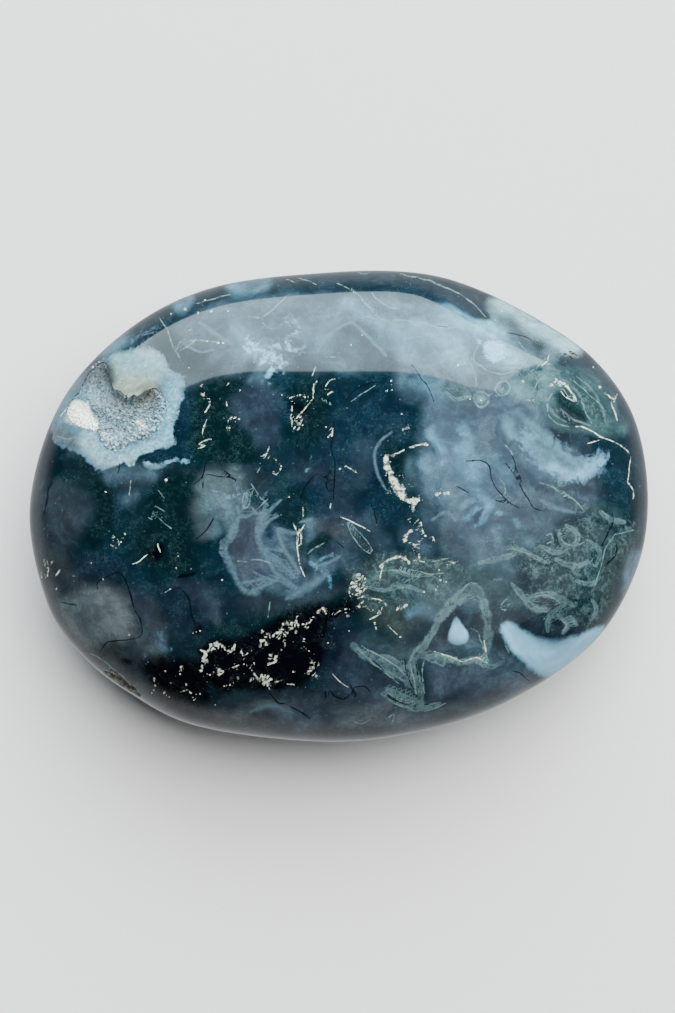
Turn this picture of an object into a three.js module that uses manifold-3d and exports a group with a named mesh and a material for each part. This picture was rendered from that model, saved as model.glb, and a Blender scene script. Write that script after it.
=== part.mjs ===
// A moss agate palm stone, 65 mm long: one tumbled and polished lens of chalcedony. On its upper left the polish has cut
// into a small hollow lined with quartz crystals, and at its lower left edge there is an unpolished natural pit.
// Millimetres, +Z up, standing on the small polished flat of its underside, which is at z = 0.
import * as THREE from "three";
import { mergeVertices } from "three/addons/utils/BufferGeometryUtils.js";
import Module from "manifold-3d";

// The lens: its crown stands above the widest line and its base hangs below it.
const CROWN_HEIGHT = 12.2;
const BASE_HEIGHT = 9.6;
const CROWN_FULLNESS = 2.5; // 2 is an ellipse, more is flatter on top
const BASE_FULLNESS = 2.4;
const EDGE_FULLNESS = 2.15; // 2 is an ellipse, more is rounder at the widest line
const REST_FLAT_DEPTH = 0.35; // what the resting flat takes off the underside

// The widest line of the stone seen from above, counterclockwise from its right end.
const OUTLINE = [
  [32.5, 0.6], [31.2, 9.2], [27.0, 15.7], [21.7, 19.9], [14.9, 23.3], [8.1, 24.9], [-1.0, 24.9],
  [-13.2, 23.3], [-22.2, 18.8], [-29.3, 10.9], [-32.4, 0.0], [-30.6, -9.9], [-27.0, -15.5],
  [-21.7, -19.7], [-14.7, -23.1], [-2.5, -24.7], [6.8, -24.0], [16.7, -21.0], [26.1, -14.9], [31.0, -7.3],
];
const COLUMNS = 104;
const ROWS = 26;

// Hand polishing leaves the dome a little uneven.
const UNEVEN_HEIGHT = 0.22;
const UNEVEN_LENGTH = [9.5, 8.0];
const UNEVEN_SHIFT = [0.7, -0.5];

// Flatter places on the edge: the way each one faces, its distance from the middle of the lens, and how crisp its
// ridge is.
const POLISHED_FLATS = [
  { name: "shoulder", facing: [0.4, 0.7, 0.59], distance: 23.1, crispness: 110 },
  { name: "lower_bevel", facing: [-0.49, -0.84, 0.24], distance: 27.6, crispness: 160 },
];

// The crystal-lined hollow: its ragged mouth seen from above, about its middle. It is deepest under the ledge, the
// overhanging lip on its upper side, and runs out gently everywhere else.
const HOLLOW_MIDDLE = [-22.7, 7.9];
const HOLLOW_MOUTH = [
  [-17.3, 8.0], [-17.7, 9.4], [-18.9, 10.9], [-20.4, 10.2], [-21.9, 10.0], [-23.1, 11.1], [-23.8, 13.8],
  [-25.3, 14.0], [-26.6, 13.0], [-27.3, 11.3], [-26.9, 9.3], [-26.0, 7.3], [-25.3, 5.6], [-24.1, 4.0],
  [-22.5, 3.8], [-21.0, 4.5], [-19.6, 4.7], [-18.1, 5.0], [-17.5, 6.4],
];
const HOLLOW_DEPTH = 2.5;
const LIP_DEPTH = 0.6; // the step down from the polish all round the mouth
const LEDGE_BEARING = THREE.MathUtils.degToRad(62); // the way from the middle of the hollow to its ledge
const HOLLOW_RINGS = [1, 0.9, 0.72, 0.5, 0.25];

// The quartz crust that lines the hollow.
const FIT_GAP = 0.3;
const CRUST_THICKNESS = 0.7;
const CRYSTAL_COUNT = 42;
const CRYSTAL_RADIUS = [0.3, 0.6];
const CRYSTAL_HEIGHT = [0.35, 0.75];
const POINT_STEEPNESS = 1.15; // height of a crystal's point over its radius

// Unpolished pits in the crown: where each one is seen from above, its half sizes along, across and up, and its turn
// about Z in degrees.
const PITS = [
  { at: [-22.4, -19.1], half: [2.4, 0.75, 1.3], turn: -32 },
  { at: [-22.9, -18.2], half: [0.9, 0.22, 0.6], turn: -36 },
  { at: [24.5, 15.3], half: [0.6, 0.32, 0.6], turn: -30 },
  { at: [23.6, 15.0], half: [0.28, 0.22, 0.4], turn: 10 },
];

const wasm = await Module();
wasm.setup();

function solidFrom(geometry) {
  const bare = geometry.clone();
  bare.deleteAttribute("normal");
  bare.deleteAttribute("uv");
  const merged = mergeVertices(bare, 1e-4);
  return new wasm.Manifold(
    new wasm.Mesh({
      numProp: 3,
      vertProperties: merged.attributes.position.array,
      triVerts: new Uint32Array(merged.index.array),
    }),
  );
}

function geometryFrom(solid) {
  const mesh = solid.getMesh();
  const geometry = new THREE.BufferGeometry();
  geometry.setAttribute("position", new THREE.BufferAttribute(mesh.vertProperties, 3));
  geometry.setIndex(new THREE.BufferAttribute(mesh.triVerts, 1));
  geometry.computeVertexNormals();
  return geometry;
}

function smoothLoop(points) {
  const corners = points.map(([x, y]) => new THREE.Vector3(x, y, 0));
  return new THREE.CatmullRomCurve3(corners, true, "catmullrom", 0.5);
}

// A repeatable number from 0 to 1 for each whole number.
function scattered(index, salt) {
  const wave = Math.sin(index * 127.1 + salt * 311.7) * 43758.5453;
  return wave - Math.floor(wave);
}

// The reach of a closed loop from its middle, as a function of bearing.
function reachOf(curve, middle) {
  const ring = curve.getPoints(720).map((p) => {
    const x = p.x - middle[0];
    const y = p.y - middle[1];
    return { bearing: Math.atan2(y, x), reach: Math.hypot(x, y) };
  });
  ring.sort((a, b) => a.bearing - b.bearing);
  return (bearing) => {
    const next = ring.findIndex((r) => r.bearing >= bearing);
    const b = ring[Math.max(next, 0)];
    const a = ring[next <= 0 ? ring.length - 1 : next - 1];
    const span = THREE.MathUtils.euclideanModulo(b.bearing - a.bearing, 2 * Math.PI);
    const step = THREE.MathUtils.euclideanModulo(bearing - a.bearing, 2 * Math.PI);
    return span > 1e-9 ? THREE.MathUtils.lerp(a.reach, b.reach, step / span) : a.reach;
  };
}

function unevenness(x, y) {
  const along = Math.sin(x / UNEVEN_LENGTH[0] + UNEVEN_SHIFT[0]);
  const across = Math.cos(y / UNEVEN_LENGTH[1] + UNEVEN_SHIFT[1]);
  return UNEVEN_HEIGHT * along * across;
}

// A point beyond a flat is drawn back towards the middle of the lens, softly near the flat's ridge.
function polishFlats(point) {
  for (const flat of POLISHED_FLATS) {
    const facing = new THREE.Vector3(...flat.facing).normalize();
    const beyond = Math.max(point.dot(facing), 0) / flat.distance;
    point.multiplyScalar((1 + beyond ** flat.crispness) ** (-1 / flat.crispness));
  }
  return point;
}

const outlineCurve = smoothLoop(OUTLINE);
const outlineReach = reachOf(outlineCurve, [0, 0]);
const restLevel = REST_FLAT_DEPTH - BASE_HEIGHT;

// Height of the crown above a place seen from above, measured from the resting flat.
function crownLevel(x, y) {
  const share = Math.min(Math.hypot(x, y) / outlineReach(Math.atan2(y, x)), 1);
  const rise = (1 - share ** CROWN_FULLNESS) ** (1 / EDGE_FULLNESS);
  return CROWN_HEIGHT * rise + unevenness(x, y) * rise - restLevel;
}

// The polished lens, before its hollow and pits: a sphere whose columns follow the outline and whose rows follow the
// profile from the crown's top over the widest line to the underside.
function lens() {
  const sphere = new THREE.SphereGeometry(1, COLUMNS, ROWS);
  const columns = outlineCurve.getSpacedPoints(COLUMNS);
  const place = sphere.attributes.position;
  const uv = sphere.attributes.uv;
  for (let i = 0; i < place.count; i++) {
    const edge = columns[THREE.MathUtils.euclideanModulo(Math.round(uv.getX(i) * COLUMNS), COLUMNS)];
    const row = Math.round((1 - uv.getY(i)) * ROWS);
    const climb = (0.5 - row / ROWS) * Math.PI;
    const onCrown = climb >= 0;
    const fullness = onCrown ? CROWN_FULLNESS : BASE_FULLNESS;
    const share = row === 0 || row === ROWS ? 0 : Math.cos(climb) ** (2 / fullness);
    const point = new THREE.Vector3(edge.x * share, edge.y * share, 0);
    const rise = Math.sign(climb) * Math.abs(Math.sin(climb)) ** (2 / EDGE_FULLNESS);
    const height = onCrown ? CROWN_HEIGHT : BASE_HEIGHT;
    point.z = height * rise + unevenness(point.x, point.y) * Math.abs(rise);
    polishFlats(point);
    place.setXYZ(i, point.x, point.y, Math.max(point.z, restLevel) - restLevel);
  }
  return sphere;
}

const hollowReach = reachOf(smoothLoop(HOLLOW_MOUTH), HOLLOW_MIDDLE);
const HOLLOW_BEARINGS = 32;

// How far down the hollow is, at a share of the way from its middle to its mouth.
function hollowDepth(share, bearing) {
  const towardsLedge = Math.max(Math.cos(bearing - LEDGE_BEARING), 0);
  const steepness = 1.6 + 7 * towardsLedge ** 2;
  return THREE.MathUtils.lerp(HOLLOW_DEPTH, LIP_DEPTH, Math.min(share, 1) ** steepness);
}

// A closed sheet over the hollow's mouth, drawn in by an inset, with its floor and its roof at the given levels.
function hollowSheet(inset, rings, floorLevel, roofLevel) {
  const positions = [];
  const faces = [];
  const layer = (level) => {
    const start = positions.length / 3;
    for (const share of rings) {
      for (let k = 0; k < HOLLOW_BEARINGS; k++) {
        const bearing = ((k + 0.5) / HOLLOW_BEARINGS) * 2 * Math.PI - Math.PI;
        const reach = (hollowReach(bearing) - inset) * share;
        const x = HOLLOW_MIDDLE[0] + reach * Math.cos(bearing);
        const y = HOLLOW_MIDDLE[1] + reach * Math.sin(bearing);
        positions.push(x, y, level(x, y, share, bearing));
      }
    }
    positions.push(...HOLLOW_MIDDLE, level(...HOLLOW_MIDDLE, 0, 0));
    return start;
  };
  const floor = layer(floorLevel);
  const roof = layer(roofLevel);
  const quad = (a, b, c, d) => faces.push(a, b, c, a, c, d);
  const last = rings.length - 1;
  for (let k = 0; k < HOLLOW_BEARINGS; k++) {
    const next = (k + 1) % HOLLOW_BEARINGS;
    for (let ring = 0; ring < last; ring++) {
      const outer = ring * HOLLOW_BEARINGS;
      const inner = outer + HOLLOW_BEARINGS;
      quad(roof + outer + k, roof + outer + next, roof + inner + next, roof + inner + k);
      quad(floor + outer + next, floor + outer + k, floor + inner + k, floor + inner + next);
    }
    const rim = last * HOLLOW_BEARINGS;
    const middle = rings.length * HOLLOW_BEARINGS;
    faces.push(roof + rim + k, roof + rim + next, roof + middle);
    faces.push(floor + rim + next, floor + rim + k, floor + middle);
    quad(floor + k, floor + next, roof + next, roof + k);
  }
  const geometry = new THREE.BufferGeometry();
  geometry.setAttribute("position", new THREE.Float32BufferAttribute(positions, 3));
  geometry.setIndex(faces);
  return solidFrom(geometry);
}

const hollowFloor = (x, y, share, bearing) => crownLevel(x, y) - hollowDepth(share, bearing);

function pit({ at, half, turn }) {
  const shape = new THREE.SphereGeometry(1, 14, 8);
  shape.scale(...half);
  shape.rotateZ(THREE.MathUtils.degToRad(turn));
  shape.translate(...at, crownLevel(...at));
  return solidFrom(shape);
}

function stone() {
  const aboveStone = () => CROWN_HEIGHT + BASE_HEIGHT + 1;
  let solid = solidFrom(lens());
  solid = solid.subtract(hollowSheet(0, HOLLOW_RINGS, hollowFloor, aboveStone));
  for (const spec of PITS) solid = solid.subtract(pit(spec));
  return geometryFrom(solid);
}

// One six-sided quartz crystal with a point, its root at the origin.
function crystal(radius, height) {
  const profile = [
    [0, -CRUST_THICKNESS / 2],
    [radius, -CRUST_THICKNESS / 2],
    [radius * 0.94, height],
    [0, height + radius * POINT_STEEPNESS],
  ];
  const shape = new THREE.LatheGeometry(profile.map(([x, y]) => new THREE.Vector2(x, y)), 6);
  shape.rotateX(Math.PI / 2);
  return shape;
}

// The crust: a sheet a little inside the hollow, with crystals that grow out of it and stop below the polish.
function quartzCrust() {
  const rings = [1, 0.86, 0.66, 0.42, 0.2];
  const floor = (x, y, share, bearing) => hollowFloor(x, y, share, bearing) + FIT_GAP;
  const roof = (x, y, share, bearing) =>
    Math.min(floor(x, y, share, bearing) + CRUST_THICKNESS, crownLevel(x, y) - 0.05);
  const polish = (x, y) => crownLevel(x, y) - 0.1;
  let solid = hollowSheet(FIT_GAP, rings, floor, roof);
  const goldenAngle = Math.PI * (3 - Math.sqrt(5));
  const crystals = [];
  for (let i = 0; i < CRYSTAL_COUNT; i++) {
    const bearing = THREE.MathUtils.euclideanModulo(i * goldenAngle, 2 * Math.PI) - Math.PI;
    const share = 0.94 * Math.sqrt((i + 0.5) / CRYSTAL_COUNT);
    const reach = (hollowReach(bearing) - FIT_GAP) * share;
    const x = HOLLOW_MIDDLE[0] + reach * Math.cos(bearing);
    const y = HOLLOW_MIDDLE[1] + reach * Math.sin(bearing);
    const radius = THREE.MathUtils.lerp(...CRYSTAL_RADIUS, scattered(i, 1));
    const shape = crystal(radius, THREE.MathUtils.lerp(...CRYSTAL_HEIGHT, scattered(i, 2)));
    shape.rotateZ(scattered(i, 3) * Math.PI);
    shape.rotateX((scattered(i, 4) - 0.5) * 0.9);
    shape.rotateY((scattered(i, 5) - 0.8) * 0.9);
    shape.translate(x, y, roof(x, y, share, bearing));
    crystals.push(solidFrom(shape));
  }
  solid = wasm.Manifold.union([solid, ...crystals]);
  solid = solid.intersect(hollowSheet(FIT_GAP, rings, floor, polish));
  const parts = solid.decompose();
  parts.sort((a, b) => b.volume() - a.volume());
  return geometryFrom(parts[0]);
}

const agate = new THREE.MeshStandardMaterial({ color: 0x3d5766, roughness: 0.12, metalness: 0 });
const quartz = new THREE.MeshStandardMaterial({ color: 0xaeb8bd, roughness: 0.35, metalness: 0 });

const palmStone = new THREE.Group();
palmStone.name = "moss_agate_palm_stone";

function addPiece(name, geometry, material) {
  const mesh = new THREE.Mesh(geometry, material);
  mesh.name = name;
  palmStone.add(mesh);
  return mesh;
}

const body = addPiece("stone", stone(), agate);
const crust = addPiece("quartz_crust", quartzCrust(), quartz);

// The part's origin is under the middle of the stone.
const bounds = new THREE.Box3().setFromObject(body);
for (const mesh of [body, crust]) {
  mesh.geometry.translate(-(bounds.min.x + bounds.max.x) / 2, -(bounds.min.y + bounds.max.y) / 2, 0);
}

export default palmStone;
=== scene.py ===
import math

import bmesh
import bpy
import numpy as np
from mathutils import Matrix, Vector, noise as turbulence
from mathutils.bvhtree import BVHTree


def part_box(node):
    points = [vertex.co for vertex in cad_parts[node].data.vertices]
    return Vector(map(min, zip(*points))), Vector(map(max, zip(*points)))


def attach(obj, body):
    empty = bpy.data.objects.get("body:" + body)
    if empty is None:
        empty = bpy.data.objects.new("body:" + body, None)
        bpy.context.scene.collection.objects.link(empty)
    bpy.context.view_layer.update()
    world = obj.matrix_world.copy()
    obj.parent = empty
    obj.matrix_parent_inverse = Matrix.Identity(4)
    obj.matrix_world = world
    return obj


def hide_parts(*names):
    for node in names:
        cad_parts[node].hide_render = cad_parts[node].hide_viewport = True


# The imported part
# It is the fixed frame, and all that follows is laid on it. Sizes below are in millimetres and are turned
# into metres on the way in.
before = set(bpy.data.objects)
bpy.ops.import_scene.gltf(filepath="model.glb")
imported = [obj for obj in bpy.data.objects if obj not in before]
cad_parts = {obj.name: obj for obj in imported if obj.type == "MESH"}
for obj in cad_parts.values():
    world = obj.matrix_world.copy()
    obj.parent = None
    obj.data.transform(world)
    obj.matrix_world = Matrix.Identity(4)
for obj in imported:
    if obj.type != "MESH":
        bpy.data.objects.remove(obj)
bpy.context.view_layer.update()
MM = 0.001

# The camera
# It stands almost above the stone, leaning a little towards the viewer's side, as for a product picture on
# a table.
AIM = Vector((-0.15, -0.25, 9.3)) * MM
CAMERA_DISTANCE = 300 * MM
CAMERA_ELEVATION = math.radians(81)
PICTURE_SIZE_PX = (675, 1013)
PX_PER_MM = 9.52  # at the stone's widest line
SENSOR = 36

camera_data = bpy.data.cameras.new("camera")
camera_data.sensor_width = SENSOR
camera_data.lens = SENSOR * CAMERA_DISTANCE / MM * PX_PER_MM / PICTURE_SIZE_PX[1]
camera = bpy.data.objects.new("camera", camera_data)
bpy.context.scene.collection.objects.link(camera)
towards_camera = Vector((0, -math.cos(CAMERA_ELEVATION), math.sin(CAMERA_ELEVATION)))
camera.location = AIM + towards_camera * CAMERA_DISTANCE
camera.rotation_mode = "QUATERNION"
camera.rotation_quaternion = (-towards_camera).to_track_quat("-Z", "Y")
bpy.context.scene.camera = camera


def seen_at(points):
    """Where points of the object, in millimetres, are seen in the picture, in its pixels."""
    ahead = np.array(-towards_camera)
    upwards = np.array((0, math.sin(CAMERA_ELEVATION), math.cos(CAMERA_ELEVATION)))
    way = points - np.array(camera.location) / MM
    zoom = CAMERA_DISTANCE / MM * PX_PER_MM / (way @ ahead)
    across = PICTURE_SIZE_PX[0] / 2 + way[:, 0] * zoom
    down = PICTURE_SIZE_PX[1] / 2 - (way @ upwards) * zoom
    return np.stack([across, down], 1)


# The stone
# One tumbled palm stone of moss agate: a lens of chalcedony with a rounded edge, polished all over. The
# polish has cut into a small crystal-lined hollow and left natural pits at the lower left edge and on the
# shoulder at the upper right.
CROWN_HEIGHT = 12.2
BASE_HEIGHT = 9.6
CROWN_FULLNESS = 2.5  # 2 is an ellipse, more is flatter on top
BASE_FULLNESS = 2.4
EDGE_FULLNESS = 2.15
REST_FLAT_DEPTH = 0.35
OUTLINE = [
    (32.5, 0.6), (31.2, 9.2), (27.0, 15.7), (21.7, 19.9), (14.9, 23.3), (8.1, 24.9), (-1.0, 24.9),
    (-13.2, 23.3), (-22.2, 18.8), (-29.3, 10.9), (-32.4, 0.0), (-30.6, -9.9), (-27.0, -15.5),
    (-21.7, -19.7), (-14.7, -23.1), (-2.5, -24.7), (6.8, -24.0), (16.7, -21.0), (26.1, -14.9), (31.0, -7.3),
]
OUTLINE_STEPS = 40  # between two of its points
UNEVEN_HEIGHT = 0.22
UNEVEN_LENGTH = (9.5, 8.0)
UNEVEN_SHIFT = (0.7, -0.5)
POLISHED_FLATS = {  # facing, distance from the middle of the widest level, crispness of the edge
    "Shoulder": ((0.4, 0.7, 0.59), 23.1, 60),
    "Lower Bevel": ((-0.49, -0.84, 0.24), 27.6, 160),
}
CELLS_ACROSS = 184
CELLS_DOWN = 28
CAP_SHARE = 0.93  # how far out the square patches of the crown and the base reach
TINY = 1e-6
WELL_ABOVE = 40  # a level above the whole stone


def feed(tree, node, values):
    """Links a node's inputs to the values that are sockets, and sets them to the others."""
    for key, value in dict(values).items():
        if isinstance(value, bpy.types.NodeSocket):
            tree.links.new(value, node.inputs[key])
        else:
            node.inputs[key].default_value = value


def put(tree, kind, values=(), **settings):
    """Adds a node and feeds it."""
    node = tree.nodes.new(kind)
    for name, setting in settings.items():
        setattr(node, name, setting)
    feed(tree, node, values)
    return node


def result(tree, kind, values=(), **settings):
    """The first output of a new node."""
    return put(tree, kind, values, **settings).outputs[0]


def reckon(tree, operation, *values):
    """A Math node's result."""
    return result(tree, "ShaderNodeMath", enumerate(values), operation=operation)


def reckon_vector(tree, operation, *values):
    """A Vector Math node's result, which is a number for a dot product or a length."""
    node = put(tree, "ShaderNodeVectorMath", enumerate(values), operation=operation)
    return node.outputs["Value" if operation in ("DOT_PRODUCT", "LENGTH") else "Vector"]


def scaled(tree, vector, factor):
    """A vector or a colour times a number."""
    return result(tree, "ShaderNodeVectorMath", {0: vector, "Scale": factor}, operation="SCALE")


def split(tree, vector):
    """The three numbers of a vector."""
    return put(tree, "ShaderNodeSeparateXYZ", {0: vector}).outputs


def new_group(name, kind, given, made):
    """A node group with its sockets, which are names with their kinds, and the values that it is given."""
    tree = bpy.data.node_groups.new(name, kind)
    for way, sockets in (("OUTPUT", made), ("INPUT", given)):
        for label, socket in sockets.items():
            tree.interface.new_socket(label, in_out=way, socket_type="NodeSocket" + socket)
    return tree, tree.nodes.new("NodeGroupInput").outputs


def hand_out(tree, geometry, material):
    """Ends a geometry tree with real faces of a material."""
    real = result(tree, "GeometryNodeRealizeInstances", {"Geometry": geometry})
    put(tree, "NodeGroupOutput", {
        0: result(tree, "GeometryNodeSetMaterial", {"Geometry": real, "Material": material}),
    })


def lens_tree():
    """A closed lens over a box of square cells: its outline follows a curve, and its profile a rule."""
    floats = ("Cap Share", "Crown Height", "Base Height", "Crown Fullness", "Base Fullness",
              "Edge Fullness", "Rest Flat Depth", "Uneven Height")
    tree, given = new_group("polished_lens", "GeometryNodeTree", {
        "Geometry": "Geometry", "Outline": "Object", "Finish": "Material", "Cells Across": "Int",
        "Cells Down": "Int", **dict.fromkeys(floats, "Float"),
    }, {"Geometry": "Geometry"})

    def m(operation, *values):
        return reckon(tree, operation, *values)

    across = m("ADD", given["Cells Across"], 1)
    box = put(tree, "GeometryNodeMeshCube", {
        "Size": (2, 2, 2), "Vertices X": across, "Vertices Y": across,
        "Vertices Z": m("ADD", given["Cells Down"], 1),
    })
    cell = split(tree, result(tree, "GeometryNodeInputPosition"))
    ring = m("MAXIMUM", m("ABSOLUTE", cell[0]), m("ABSOLUTE", cell[1]))
    safe_ring = m("MAXIMUM", ring, TINY)
    corner = [m("TANGENT", m("MULTIPLY", m("DIVIDE", cell[i], safe_ring), math.pi / 4)) for i in (0, 1)]
    bearing = m("FRACT", m("DIVIDE", m("ARCTAN2", corner[1], corner[0]), 2 * math.pi))
    loop = put(tree, "GeometryNodeObjectInfo", {"Object": given["Outline"]}).outputs["Geometry"]
    loop = result(tree, "GeometryNodeCurveSplineType", {"Curve": loop}, spline_type="CATMULL_ROM")
    loop = result(tree, "GeometryNodeSetSplineResolution", {"Geometry": loop, "Resolution": OUTLINE_STEPS})
    sampled = put(tree, "GeometryNodeSampleCurve", {"Curves": loop, "Factor": bearing}, mode="FACTOR")

    on_crown = m("GREATER_THAN", cell[2], -TINY)

    def crown_or_base(crown, base):
        return result(tree, "ShaderNodeMix", {"Factor": on_crown, "A": base, "B": crown})

    fullness = crown_or_base(given["Crown Fullness"], given["Base Fullness"])
    cap_ring = m("MULTIPLY", ring, given["Cap Share"])
    cap_climb = m("ARCCOSINE", m("POWER", cap_ring, m("DIVIDE", fullness, 2)))
    climb = m("MULTIPLY", cap_climb, m("ABSOLUTE", cell[2]))
    share = m("POWER", m("MAXIMUM", m("COSINE", climb), 0), m("DIVIDE", 2, fullness))
    rise = m("POWER", m("SINE", climb), m("DIVIDE", 2, given["Edge Fullness"]))
    place = split(tree, scaled(tree, sampled.outputs["Position"], share))
    along = m("SINE", m("MULTIPLY_ADD", place[0], 1 / (UNEVEN_LENGTH[0] * MM), UNEVEN_SHIFT[0]))
    over = m("COSINE", m("MULTIPLY_ADD", place[1], 1 / (UNEVEN_LENGTH[1] * MM), UNEVEN_SHIFT[1]))
    uneven = m("MULTIPLY", m("MULTIPLY", along, over), given["Uneven Height"])
    height = crown_or_base(given["Crown Height"], m("MULTIPLY", given["Base Height"], -1))
    level = m("MULTIPLY", m("ADD", height, uneven), rise)
    point = result(tree, "ShaderNodeCombineXYZ", {0: place[0], 1: place[1], 2: level})
    for facing, distance, crispness in POLISHED_FLATS.values():
        outwards = Vector(facing).normalized()
        reached = m("MAXIMUM", reckon_vector(tree, "DOT_PRODUCT", point, outwards), 0)
        softly = m("ADD", m("POWER", m("DIVIDE", reached, distance * MM), crispness), 1)
        point = scaled(tree, point, m("POWER", softly, -1 / crispness))
    place = split(tree, point)
    rest_level = m("SUBTRACT", given["Rest Flat Depth"], given["Base Height"])
    standing = m("SUBTRACT", m("MAXIMUM", place[2], rest_level), rest_level)
    point = result(tree, "ShaderNodeCombineXYZ", {0: place[0], 1: place[1], 2: standing})
    shaped = result(tree, "GeometryNodeSetPosition", {"Geometry": box.outputs["Mesh"], "Position": point})
    smooth = result(tree, "GeometryNodeSetShadeSmooth", {"Geometry": shaped})
    hand_out(tree, smooth, given["Finish"])
    return tree


def in_scene(name, data):
    """A new object at the origin."""
    made = bpy.data.objects.new(name, data)
    bpy.context.scene.collection.objects.link(made)
    return made


def outline_curve(name, points):
    """A closed curve through points in millimetres."""
    curve = bpy.data.curves.new(name, "CURVE")
    curve.dimensions = "3D"
    spline = curve.splines.new("POLY")
    spline.points.add(len(points) - 1)
    for corner, (x, y) in zip(spline.points, points):
        corner.co = (x * MM, y * MM, 0, 1)
    spline.use_cyclic_u = True
    return in_scene(name, curve)


def plain_mesh(piece):
    """Makes a piece's modifiers part of its mesh."""
    bpy.context.view_layer.update()
    evaluated = piece.evaluated_get(bpy.context.evaluated_depsgraph_get())
    mesh = bpy.data.meshes.new_from_object(evaluated)
    piece.modifiers.clear()
    piece.data = mesh


def grown_mesh(name, tree, inputs):
    """The plain mesh that a geometry tree makes with the given inputs, as a new object at the origin."""
    grown = in_scene(name, bpy.data.meshes.new(name))
    modifier = grown.modifiers.new("tree", "NODES")
    modifier.node_group = tree
    items = tree.interface.items_tree
    identifiers = {item.name: item.identifier for item in items if item.in_out == "INPUT"}
    for label, value in inputs.items():
        modifier[identifiers[label]] = value
    plain_mesh(grown)
    return grown


def corners_of(mesh):
    """A mesh's points as an array, in millimetres."""
    flat = np.empty(len(mesh.vertices) * 3, np.float32)
    mesh.vertices.foreach_get("co", flat)
    return flat.reshape(-1, 3).astype(float) / MM


def set_corners(mesh, points):
    """Moves a mesh's points to places in millimetres."""
    mesh.vertices.foreach_set("co", (points * MM).astype(np.float32).ravel())
    mesh.update()


agate = bpy.data.materials.new("polished_moss_agate")
outline_object = outline_curve("outline", OUTLINE)
stone = grown_mesh("moss_agate_stone", lens_tree(), {
    "Outline": outline_object, "Finish": agate, "Cells Across": CELLS_ACROSS, "Cells Down": CELLS_DOWN,
    "Cap Share": CAP_SHARE, "Crown Height": CROWN_HEIGHT * MM, "Base Height": BASE_HEIGHT * MM,
    "Crown Fullness": CROWN_FULLNESS, "Base Fullness": BASE_FULLNESS, "Edge Fullness": EDGE_FULLNESS,
    "Rest Flat Depth": REST_FLAT_DEPTH * MM, "Uneven Height": UNEVEN_HEIGHT * MM,
})
bpy.data.objects.remove(outline_object)

# Its box is set to the solid's own, which differs by a few hundredths of a millimetre.
solid_low, solid_high = (np.array(corner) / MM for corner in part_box("stone"))
lens_points = corners_of(stone.data)
lens_low, lens_high = lens_points.min(0), lens_points.max(0)
lens_points = solid_low + (lens_points - lens_low) * (solid_high - solid_low) / (lens_high - lens_low)
set_corners(stone.data, lens_points)

lens_faces = [tuple(face.vertices) for face in stone.data.polygons]
lens_surface = BVHTree.FromPolygons([Vector(p) for p in lens_points], lens_faces)
WIDEST_LEVEL = BASE_HEIGHT - REST_FLAT_DEPTH


def crown_top(x, y):
    """The level of the polished crown above a place, in millimetres."""
    hit = lens_surface.ray_cast(Vector((x, y, WELL_ABOVE)), Vector((0, 0, -1)))[0]
    return hit.z if hit else WIDEST_LEVEL


# The hollow and the pits
# They are cut out of the lens. The hollow is a shallow bowl with a ragged mouth whose wall is steep under
# the ledge, and each pit is a rough ellipsoid that lies across the polished surface.
HOLLOW_MIDDLE = (-22.7, 7.9)
HOLLOW_MOUTH = [
    (-17.5, 8.0), (-17.6, 9.2), (-18.1, 10.1), (-18.9, 10.7), (-19.3, 10.6), (-20.0, 10.35), (-20.5, 9.95),
    (-21.0, 10.05), (-21.45, 9.87), (-22.0, 10.3), (-22.35, 10.45), (-22.75, 10.8), (-23.35, 11.1),
    (-23.55, 11.9), (-23.8, 12.9), (-24.1, 13.8), (-24.5, 14.3), (-25.25, 14.1), (-26.0, 13.4),
    (-26.6, 12.5), (-27.1, 11.5), (-27.6, 10.7), (-28.2, 10.0), (-28.4, 9.0), (-28.05, 8.1), (-26.95, 7.15),
    (-25.8, 6.55), (-25.0, 6.2), (-24.6, 5.35), (-23.75, 4.3), (-22.8, 3.95), (-21.75, 4.3), (-20.8, 4.9),
    (-20.0, 4.95), (-19.15, 5.35), (-18.45, 5.95), (-17.95, 6.65), (-17.75, 7.4),
]
MOUTH_STEP = 0.05
MOUTH_RAGGEDNESS = 0.22
JAGGEDNESS = 9  # how closely the jags follow one another round the mouth
HOLLOW_DEPTH = 2.5
LIP_DEPTH = 0.45
WALL_FULLNESS = 1.6
LEDGE_STEEPNESS = 7  # is added to it under the ledge
LEDGE_BEARING = math.radians(62)
HOLLOW_BEARINGS = 220
HOLLOW_RINGS = [1, 0.97, 0.93, 0.88, 0.81, 0.73, 0.64, 0.54, 0.43, 0.31, 0.18]
TOOL_TOP = CROWN_HEIGHT + BASE_HEIGHT + 1
PITS = [  # place, half sizes, turn in degrees
    ((-22.4, -19.1), (2.4, 0.75, 1.3), -32),
    ((-22.9, -18.2), (0.9, 0.22, 0.6), -36),
    ((24.5, 15.3), (0.6, 0.32, 0.6), -30),
    ((23.6, 15.0), (0.28, 0.22, 0.4), 10),
]
PIT_ROUGHNESS = 0.22
PIT_GRAIN = 2.5
GLOBE_CUTS = 5
OFF_POLISH = 0.01  # a point farther from the polished lens than this lies on a break
SHARP_ANGLE = math.radians(38)


def smooth_line(points, closed, step):
    """Points about a step apart along a Catmull-Rom line through points placed by hand."""
    points = np.array(points, float)
    around = [points[-1], *points, *points[:2]] if closed else [points[0], *points, points[-1]]
    line = []
    for a, b, c, d in zip(around, around[1:], around[2:], around[3:]):
        for t in np.arange(0, 1, min(step / max(np.linalg.norm(c - b), TINY), 1)):
            line.append(0.5 * (2 * b + (c - a) * t + (2 * a - 5 * b + 4 * c - d) * t**2
                               + (3 * b - a - 3 * c + d) * t**3))
    return np.array(line if closed else [*line, points[-1]])


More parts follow.
